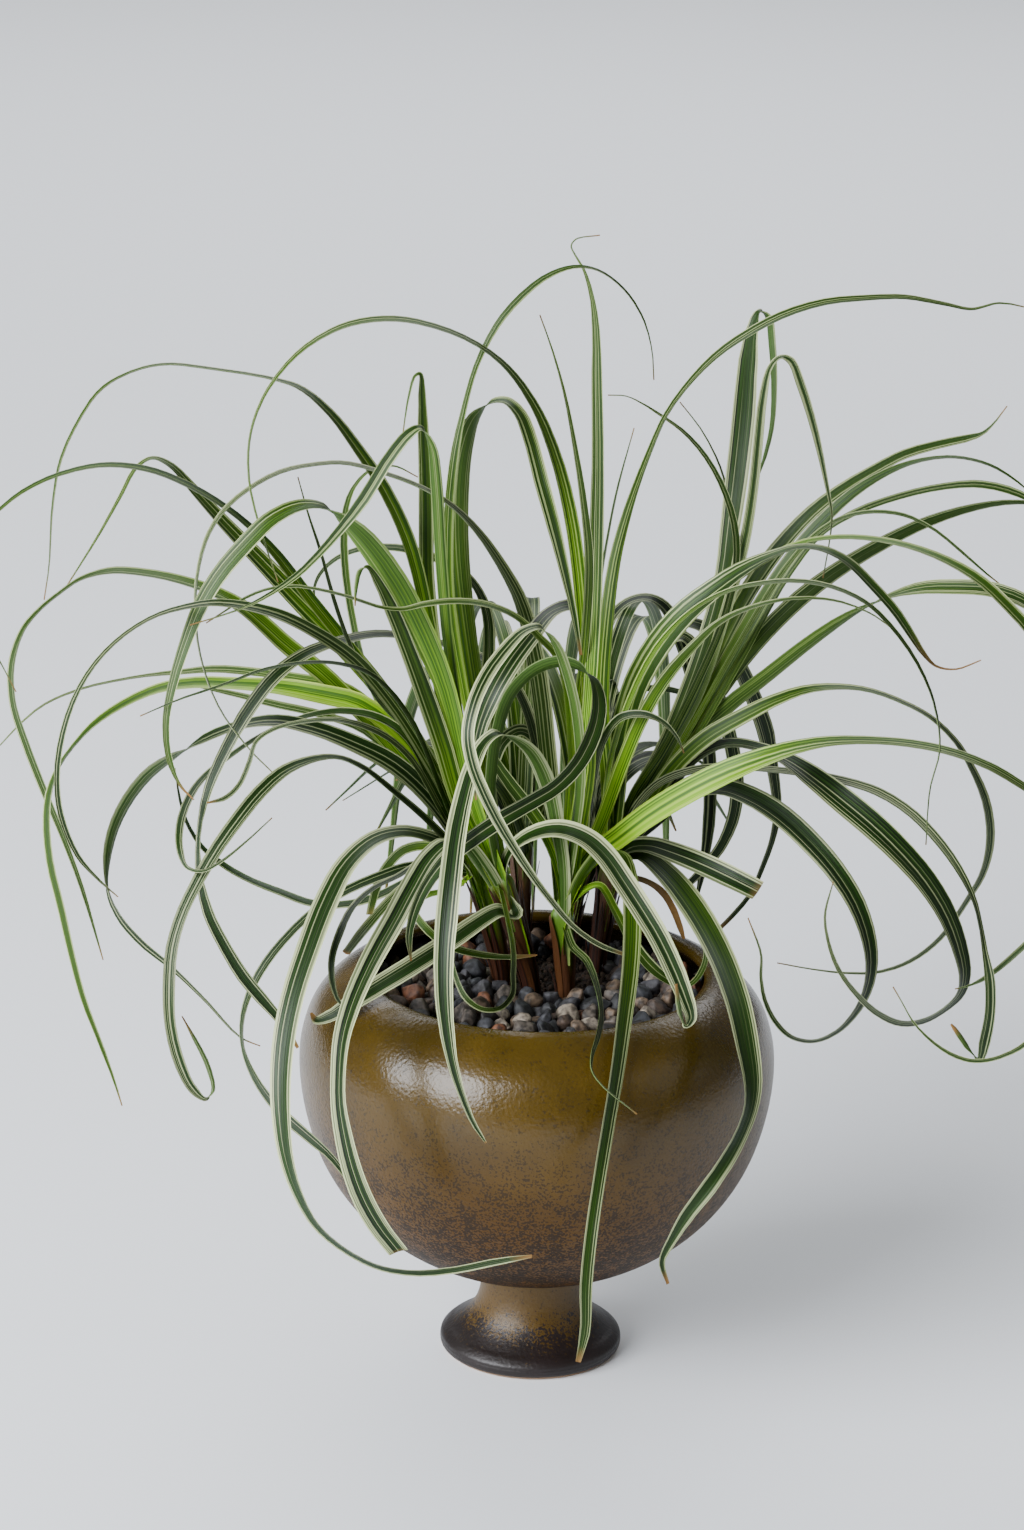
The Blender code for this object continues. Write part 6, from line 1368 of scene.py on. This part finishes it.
class Lumps:
    """Angular lumps scattered by a node group and then made plain meshes."""
    shapes = 5

    def __init__(self, name: str, material: bpy.types.Material) -> None:
        self.material = material
        self.tree = bpy.data.node_groups.new(name, "GeometryNodeTree")
        self.sockets = {}
        self.fill_tree()

    def add_input(self, name: str, kind: str, value: float) -> None:
        """Add a named input to the group and keep its identifier."""
        socket = self.tree.interface.new_socket(name, in_out="INPUT", socket_type=kind)
        socket.default_value = value
        self.sockets[name] = socket.identifier

    def fill_tree(self) -> None:
        """Fill the group: lump shapes, points, turned and squashed copies of the shapes."""
        faces = self.tree.interface
        faces.new_socket("Geometry", in_out="INPUT", socket_type="NodeSocketGeometry")
        self.add_input("Spacing", "NodeSocketFloat", 0.006)
        self.add_input("Size", "NodeSocketFloat", 0.0034)
        self.add_input("Seed", "NodeSocketInt", 1)
        self.add_input("Rounding", "NodeSocketInt", 1)
        faces.new_socket("Geometry", in_out="OUTPUT", socket_type="NodeSocketGeometry")
        graph = Graph(self.tree)
        entry = graph.add("NodeGroupInput", {}, {}).outputs
        shapes = graph.add("GeometryNodeGeometryToInstance", {}, {})
        for order in range(self.shapes):
            ball = graph.add("GeometryNodeMeshIcoSphere", {}, {"Radius": entry["Size"],
                                                               "Subdivisions": 2})
            corners = graph.add("GeometryNodeDistributePointsOnFaces", {
                "distribute_method": "RANDOM"}, {
                "Mesh": ball.outputs["Mesh"], "Seed": order + 20,
                "Density": graph.sum("DIVIDE", 1.35, graph.sum("MULTIPLY", entry["Size"],
                                                               entry["Size"]))})
            hull = graph.add("GeometryNodeConvexHull", {}, {0: corners.outputs["Points"]})
            soft = graph.add("GeometryNodeSubdivisionSurface", {}, {
                "Mesh": hull.outputs[0], "Level": entry["Rounding"], "Edge Crease": 0.5})
            self.tree.links.new(soft.outputs[0], shapes.inputs[0])
        points = graph.add("GeometryNodeDistributePointsOnFaces", {"distribute_method": "POISSON"}, {
            "Mesh": entry["Geometry"], "Distance Min": entry["Spacing"], "Density Max": 400000.0,
            "Seed": entry["Seed"]})
        spin = graph.add("FunctionNodeRandomValue", {"data_type": "FLOAT_VECTOR"}, {
            0: (0.0, 0.0, 0.0), 1: (6.28, 6.28, 6.28), "Seed": 11})
        squash = graph.add("FunctionNodeRandomValue", {"data_type": "FLOAT_VECTOR"}, {
            0: (0.72, 0.72, 0.62), 1: (1.25, 1.08, 0.95), "Seed": 12})
        growth = graph.add("FunctionNodeRandomValue", {"data_type": "FLOAT"}, {
            2: 0.62, 3: 1.12, "Seed": 14})
        scale = graph.add("ShaderNodeVectorMath", {"operation": "SCALE"}, {
            0: squash.outputs[0], 3: growth.outputs[1]})
        choice = graph.add("FunctionNodeRandomValue", {"data_type": "INT"}, {
            4: 0, 5: self.shapes - 1, "Seed": 15})
        placed = graph.add("GeometryNodeInstanceOnPoints", {}, {
            "Points": points.outputs["Points"], "Instance": shapes.outputs[0],
            "Pick Instance": True, "Instance Index": choice.outputs[2],
            "Rotation": spin.outputs[0], "Scale": scale.outputs[0]})
        draw = graph.add("FunctionNodeRandomValue", {"data_type": "FLOAT"}, {
            2: 0.0, 3: 1.0, "Seed": 13})
        marked = graph.add("GeometryNodeStoreNamedAttribute", {
            "data_type": "FLOAT", "domain": "INSTANCE"}, {
            "Geometry": placed.outputs[0], "Name": "tone", "Value": draw.outputs[1]})
        real = graph.add("GeometryNodeRealizeInstances", {}, {0: marked.outputs[0]})
        smooth = graph.add("GeometryNodeSetShadeSmooth", {}, {0: real.outputs[0]})
        finished = graph.add("GeometryNodeSetMaterial", {}, {"Geometry": smooth.outputs[0],
                                                             "Material": self.material})
        graph.add("NodeGroupOutput", {}, {0: finished.outputs[0]})

    def build(self, layer: StoneLayer) -> bpy.types.Object:
        """Scatter one layer and make it a plain mesh.

        Args:
            layer: Where the lumps lie, how far apart and how big.

        Returns:
            The layer of lumps.
        """
        middle = Vector((*GRAVEL_OPENING_CENTRE, 0.0))
        sides, vertices, faces = 64, [], []
        for side in range(sides):
            turn = 2 * math.pi * side / sides
            way = Vector((math.cos(turn), math.sin(turn), 0.0))
            rim = way * layer.outer if layer.hole else middle + way * layer.outer
            inner = middle + way * max(layer.hole, 0.5)
            vertices += [inner + Vector((0, 0, layer.height)), rim + Vector((0, 0, layer.height))]
        for side in range(sides):
            low, high = 2 * side, 2 * ((side + 1) % sides)
            faces.append((low, low + 1, high + 1, high))
        mesh = bpy.data.meshes.new("bed")
        mesh.from_pydata([vertex * MM for vertex in vertices], [], faces)
        bed = bpy.data.objects.new("bed", mesh)
        bpy.context.scene.collection.objects.link(bed)
        change = bed.modifiers.new("scatter", "NODES")
        change.node_group = self.tree
        change[self.sockets["Spacing"]] = layer.spacing * MM
        change[self.sockets["Size"]] = layer.size * MM
        change[self.sockets["Seed"]] = layer.seed
        change[self.sockets["Rounding"]] = layer.rounding
        shown = bed.evaluated_get(bpy.context.evaluated_depsgraph_get())
        lumps = bpy.data.meshes.new_from_object(shown)
        bed.modifiers.remove(change)
        bpy.data.objects.remove(bed, do_unlink=True)
        lumps.name = layer.name
        piece = bpy.data.objects.new(layer.name, lumps)
        bpy.context.scene.collection.objects.link(piece)
        claim(piece, layer.node)
        LOG.info("%s: %d faces", layer.name, len(lumps.polygons))
        return piece


@dataclass
class Foliage:
    """Thin strips of one shoot, gathered into one mesh."""
    name: str
    across: int = 8

    def __post_init__(self) -> None:
        self.vertices, self.faces, self.under = [], [], []
        self.spots, self.tone, self.rim, self.fresh, self.dry = [], [], [], [], []

    def add_leaf(self, ribbon: "Ribbon", look: "LeafLook") -> None:
        """Add one leaf.

        Args:
            ribbon: The leaf's curve and widths.
            look: How it is coloured.
        """
        sections = ribbon.fine_sections()
        total = sections[-1][4]
        shades = [look.shade(section[4] / total) for section in sections]
        self.add_strip(sections, (look.tone, look.rim), shades, 0.5)

    def add_strip(self, sections: list, marks: tuple, shades: list, thick: float) -> None:
        """Add a closed thin strip with a channelled section.

        Args:
            sections: Rows of place, width direction, face direction, half width and length.
            marks: A number that sets its streaks apart, and how broad its margins are.
            shades: How fresh and how dry each section is, fresh with any painted glow of light through
                the leaf.
            thick: Thickness at the root in mm.
        """
        count = 2 * self.across
        start = len(self.vertices)
        total = sections[-1][4]
        for (place, wide, face, half, along), (fresh, dry) in zip(sections, shades):
            share = along / total
            depth = thick * (1.0 - 0.4 * share)
            fold = 0.16 + 0.5 * (1.0 - smooth_step(share / 0.16))
            for step in range(count):
                lower = step > self.across
                part = (count - step if lower else step) / self.across
                side = 2.0 * part - 1.0
                lift = half * fold * (abs(side) ** 1.35 - 0.45)
                if lower:
                    lift -= depth * (1.0 - side ** 4)
                self.vertices.append(place + wide * (half * side) + face * lift)
                self.spots.append((part, along * 0.01))
                self.tone.append(marks[0])
                self.rim.append(marks[1])
                self.fresh.append(fresh)
                self.dry.append(dry)
        _, wide, face, _, _ = sections[len(sections) // 2]
        ahead = sections[len(sections) // 2 + 1][0] - sections[len(sections) // 2 - 1][0]
        forward = ahead.cross(wide).dot(face) > 0
        for order in range(len(sections) - 1):
            low, high = start + order * count, start + (order + 1) * count
            for step in range(count):
                after = (step + 1) % count
                row = (low + step, high + step, high + after, low + after)
                self.faces.append(row if forward else row[::-1])
                self.under.append(1.0 if step >= self.across else 0.0)
        root = tuple(range(start, start + count))
        tip = tuple(range(start + (len(sections) - 1) * count, start + len(sections) * count))
        self.faces += [root, tip[::-1]] if forward else [root[::-1], tip]
        self.under += [0.0, 0.0]

    def build(self, material: bpy.types.Material, node: str) -> bpy.types.Object:
        """Make the mesh with its map of across and along, and its numbers.

        Args:
            material: What the strips are made of.
            node: The CAD node that it stands for.

        Returns:
            The shoot's strips as one piece.
        """
        piece = make_piece(self.name, self.vertices, self.faces, material, node)
        mesh = piece.data
        store(mesh, "tone", self.tone)
        store(mesh, "rim", self.rim)
        store(mesh, "fresh", self.fresh)
        store(mesh, "dry", self.dry)
        store(mesh, "under", self.under, "FACE")
        layer = mesh.uv_layers.new(name="leaf")
        numbers = [0] * len(mesh.loops)
        mesh.loops.foreach_get("vertex_index", numbers)
        flat = [value for number in numbers for value in self.spots[number]]
        layer.data.foreach_set("uv", flat)
        mesh.set_sharp_from_angle(angle=math.radians(70))
        return piece


@dataclass(frozen=True)
class Stem:
    """The foot of a shoot: a slim stem wrapped in dry scales that end in points."""
    shoot: Shoot
    green: float
    scales: int = 7
    sides: int = 20

    def curve(self) -> list:
        """Give places and radii from the soil to just over the crown."""
        foot, mouth, half, crown = sheath_curve(self.shoot)
        over = crown + (crown - half).normalized() * 6.0
        low = foot.lerp(mouth, 0.62)
        points = [(low, 2.5), (mouth, 2.8), (half, 3.5), (crown, 4.3), (over, 1.4)]
        return smooth_curve(points, 8)

    def build(self, material: bpy.types.Material, draw: random.Random) -> None:
        """Make the stem and its scales as one piece.

        Args:
            material: The dry and green sheath material.
            draw: Where its chances come from.
        """
        curve = self.curve()
        gathered = Foliage(f"{self.shoot.name}_sheath", self.sides // 2)
        self.add_core(gathered, curve)
        for order in range(self.scales):
            turn = 2 * math.pi * (order * 0.382 + draw.uniform(-0.05, 0.05))
            reach = round(len(curve) * (0.42 + 0.075 * order + draw.uniform(-0.05, 0.05)))
            self.add_scale(gathered, curve[2:min(reach, len(curve) - 3)], turn, draw)
        gathered.build(material, self.shoot.name)

    def add_core(self, gathered: Foliage, curve: list) -> None:
        """Add the stem itself as a closed tube."""
        start, count = len(gathered.vertices), self.sides
        for order, (place, radius) in enumerate(curve):
            along = (curve[min(order + 1, len(curve) - 1)][0] - curve[max(order - 1, 0)][0])
            right = along.cross(Vector((0.0, 1.0, 0.0))).normalized()
            inward = right.cross(along).normalized()
            for side in range(count):
                turn = 2 * math.pi * side / count
                ridge = radius * (1.0 + 0.08 * math.cos(turn * 4 + order * 0.1))
                gathered.vertices.append(place + right * (math.cos(turn) * ridge)
                                         + inward * (math.sin(turn) * ridge * 0.8))
                gathered.spots.append((side / count, order * 0.03))
                gathered.tone.append(0.3)
                gathered.rim.append(0.0)
                gathered.fresh.append(order / (len(curve) - 1) + self.green)
                gathered.dry.append(0.0)
        for order in range(len(curve) - 1):
            for side in range(count):
                after = (side + 1) % count
                low, high = start + order * count, start + (order + 1) * count
                gathered.faces.append((low + side, high + side, high + after, low + after))
        gathered.faces += [tuple(range(start, start + count)),
                           tuple(start + len(curve) * count - 1 - side for side in range(count))]
        gathered.under += [0.0] * (len(gathered.faces) - len(gathered.under))

    def add_scale(self, gathered: Foliage, curve: list, turn: float,
                  draw: random.Random) -> None:
        """Add one dry scale that hugs the stem and leans out to a point."""
        sections, length = [], 0.0
        lean, width = draw.uniform(0.6, 2.6), draw.uniform(1.6, 2.5)
        for order, (place, radius) in enumerate(curve):
            share = order / (len(curve) - 1)
            before, after = curve[max(order - 1, 0)][0], curve[min(order + 1, len(curve) - 1)][0]
            along = (after - before).normalized()
            right = along.cross(Vector((0.0, 1.0, 0.0))).normalized()
            inward = right.cross(along).normalized()
            out = right * math.cos(turn) + inward * math.sin(turn) * 0.8
            wide = along.cross(out).normalized()
            if order:
                length += (place - curve[order - 1][0]).length
            spot = place + out * (radius * 0.96 + lean * share ** 3 + 0.3)
            half = width * (0.75 + 0.4 * share) * (1.0 - 0.95 * share ** 3)
            sections.append((spot, wide, -wide.cross(along).normalized(), half, length))
        shades = [(0.2, 1.0)] * len(sections)
        gathered_across, gathered.across = gathered.across, 4
        gathered.add_strip(sections, (draw.random(), 0.0), shades, 0.35)
        gathered.across = gathered_across


@dataclass(frozen=True)
class Softbox:
    """One soft studio light."""
    name: str
    place: tuple
    aim: tuple
    size: tuple
    power: float
    colour: str


class Studio:
    """A pale floor, soft light and the photo's viewpoint."""
    boxes = (Softbox("window_left", (-1.5, -1.2, 1.2), (0, 0, 0.2), (1.9, 1.4), 150.0, "#F8FAFF"),
             Softbox("fill_right", (1.9, -0.6, 1.2), (0, 0, 0.2), (1.4, 1.4), 4.0, "#FFF8F0"),
             Softbox("backdrop", (0.0, 2.6, 2.3), (0, 2.5, 0), (3.6, 2.4), 102.0, "#FBFCFF"))

    def build(self) -> None:
        """Set the floor, the lights, the world and the camera."""
        self.build_floor()
        for box in self.boxes:
            lamp = bpy.data.lights.new(box.name, "AREA")
            lamp.shape = "RECTANGLE"
            lamp.size, lamp.size_y = box.size
            lamp.energy = box.power
            lamp.color = linear(box.colour)[:3]
            light = bpy.data.objects.new(box.name, lamp)
            light.location = box.place
            aim = Vector(box.aim) - Vector(box.place)
            light.rotation_euler = aim.to_track_quat("-Z", "Y").to_euler()
            bpy.context.scene.collection.objects.link(light)
        world = bpy.data.worlds.new("studio")
        world.use_nodes = True
        sky = world.node_tree.nodes["Background"].inputs
        sky["Color"].default_value = linear("#DDE3EA")
        sky["Strength"].default_value = 0.25
        bpy.context.scene.world = world
        self.build_camera()

    def build_floor(self) -> None:
        """Lay a pale floor that runs past the picture."""
        mesh = bpy.data.meshes.new("floor")
        mesh.from_pydata([(-40, -40, 0), (40, -40, 0), (40, 40, 0), (-40, 40, 0)], [], [(0, 1, 2, 3)])
        material, graph, shader = start_material("studio_floor", 0.7)
        shader["Base Color"].default_value = linear("#EAEDF0")
        mesh.materials.append(material)
        floor = bpy.data.objects.new("floor", mesh)
        bpy.context.scene.collection.objects.link(floor)

    def build_camera(self) -> None:
        """Stand the camera where the photo was taken from."""
        lens = bpy.data.cameras.new("camera")
        lens.sensor_fit = "VERTICAL"
        lens.sensor_height = 36.0
        lens.sensor_width = 36.0
        lens.lens = 100.0
        camera = bpy.data.objects.new("camera", lens)
        bpy.context.scene.collection.objects.link(camera)
        tilt = Matrix.Rotation(math.pi / 2 - VIEW_PITCH, 4, "X")
        roll = Matrix.Rotation(VIEW_ROLL, 4, "Z")
        camera.matrix_world = Matrix.Translation(VIEW_PLACE * MM) @ tilt @ roll
        bpy.context.scene.camera = camera


FRONT_SHOOTS = ("shoot_left", "shoot_front")

# How yellow-green each traced leaf is, from 0 to 9 and in the tables' order: partly new growth and
# partly painted light shining through the leaf
FRESH_AND_BACKLIT = ("5967776616" "8101578820" "0000000110" "6538875312" "4345443335"
             "5829000013" "0110000001" "4706782")

# How broad the pale margins are on the leaves that show it, and the leaves that dry
# from a share of their length on
MARGINS = {3: 0.05, 12: 0.5, 21: 0.75, 22: 0.6, 23: 0.8, 24: 0.8, 57: 0.6, 58: 0.75, 60: 0.9, 62: 0.8}
DRY_FROM = {48: 0.88, 72: 0.02, 71: 0.9}


@dataclass(frozen=True)
class LeafLook:
    """How one leaf is coloured."""
    tone: float
    rim: float
    fresh: float
    dry_from: float
    dryness: float

    def shade(self, share: float) -> tuple:
        """Give how fresh and how dry the leaf is at a share of its length, fresh with a painted glow of
        light through the leaf.
        """
        # The second term paints a glow of light shining through the leaf near its root
        fresh = (self.fresh * (1.0 - 0.85 * smooth_step((share - 0.22) / 0.4))
                 + 0.4 * (1.0 - smooth_step(share / (0.1 + 0.16 * self.fresh))))
        dry = smooth_step((share - self.dry_from) / (1.0 - self.dry_from) * 1.6)
        return min(1.0, fresh), dry * self.dryness


def leaf_look(order: int, ribbon: "Ribbon", draw: random.Random) -> LeafLook:
    """Choose a leaf's look, as listed for a traced leaf and by chance for a hidden one.

    Args:
        order: The leaf's place in the tables.
        ribbon: The leaf.
        draw: Where its chances come from.

    Returns:
        The leaf's look.
    """
    traced = order < len(FRESH_AND_BACKLIT)
    fresh = int(FRESH_AND_BACKLIT[order]) / 9 if traced else draw.uniform(0.0, 0.25)
    rim = MARGINS.get(order, draw.uniform(0.1, 0.6))
    tip = 0.004 if ribbon.blunt else draw.choice((0.004, 0.008, 0.012, 0.02, 0.03))
    return LeafLook(draw.random(), rim, fresh, DRY_FROM.get(order, 1.0 - tip),
                    0.35 if ribbon.blunt else 1.0)


def build_shoots(ribbons: list) -> None:
    """Make each shoot's leaves and stem."""
    leaf, sheath = leaf_material(LeafFinish()), sheath_material(SheathFinish())
    draw = random.Random(17)
    table = LEFT_LEAVES + MIDDLE_LEAVES
    numbers = [number for shoot in SHOOTS for number, read in enumerate(table)
               if read.shoot == shoot.name]
    numbers += range(len(numbers), len(ribbons))
    looks = [leaf_look(number, ribbon, draw) for number, ribbon in zip(numbers, ribbons)]
    for shoot in SHOOTS:
        foliage = Foliage(f"{shoot.name}_leaves")
        for ribbon, look in zip(ribbons, looks):
            if ribbon.shoot == shoot.name:
                foliage.add_leaf(ribbon, look)
        foliage.build(leaf, shoot.name)
        green = 0.16 if shoot.name in FRONT_SHOOTS else -0.12
        Stem(shoot, green).build(sheath, draw)
        LOG.info("%s: %d leaf faces", shoot.name, len(foliage.faces))


def main() -> None:
    """Build the finer potted sedge over the CAD frame."""
    logging.basicConfig(level=logging.INFO)
    Pot().build(glaze_material(GlazeFinish()))
    soil = soil_material()
    Soil().build(soil)
    scatter = {Slot.GRAVEL: Lumps("scatter_stones", stone_material(StoneFinish())),
               Slot.SOIL: Lumps("scatter_crumbs", soil)}
    for layer in LAYERS:
        scatter[layer.slot].build(layer)
    ribbons = grow()
    left = part_leaves(ribbons)
    LOG.info("%d leaves, %d pairs still crossing", len(ribbons), left)
    build_shoots(ribbons)
    Studio().build()


if __name__ == "__main__":
    main()
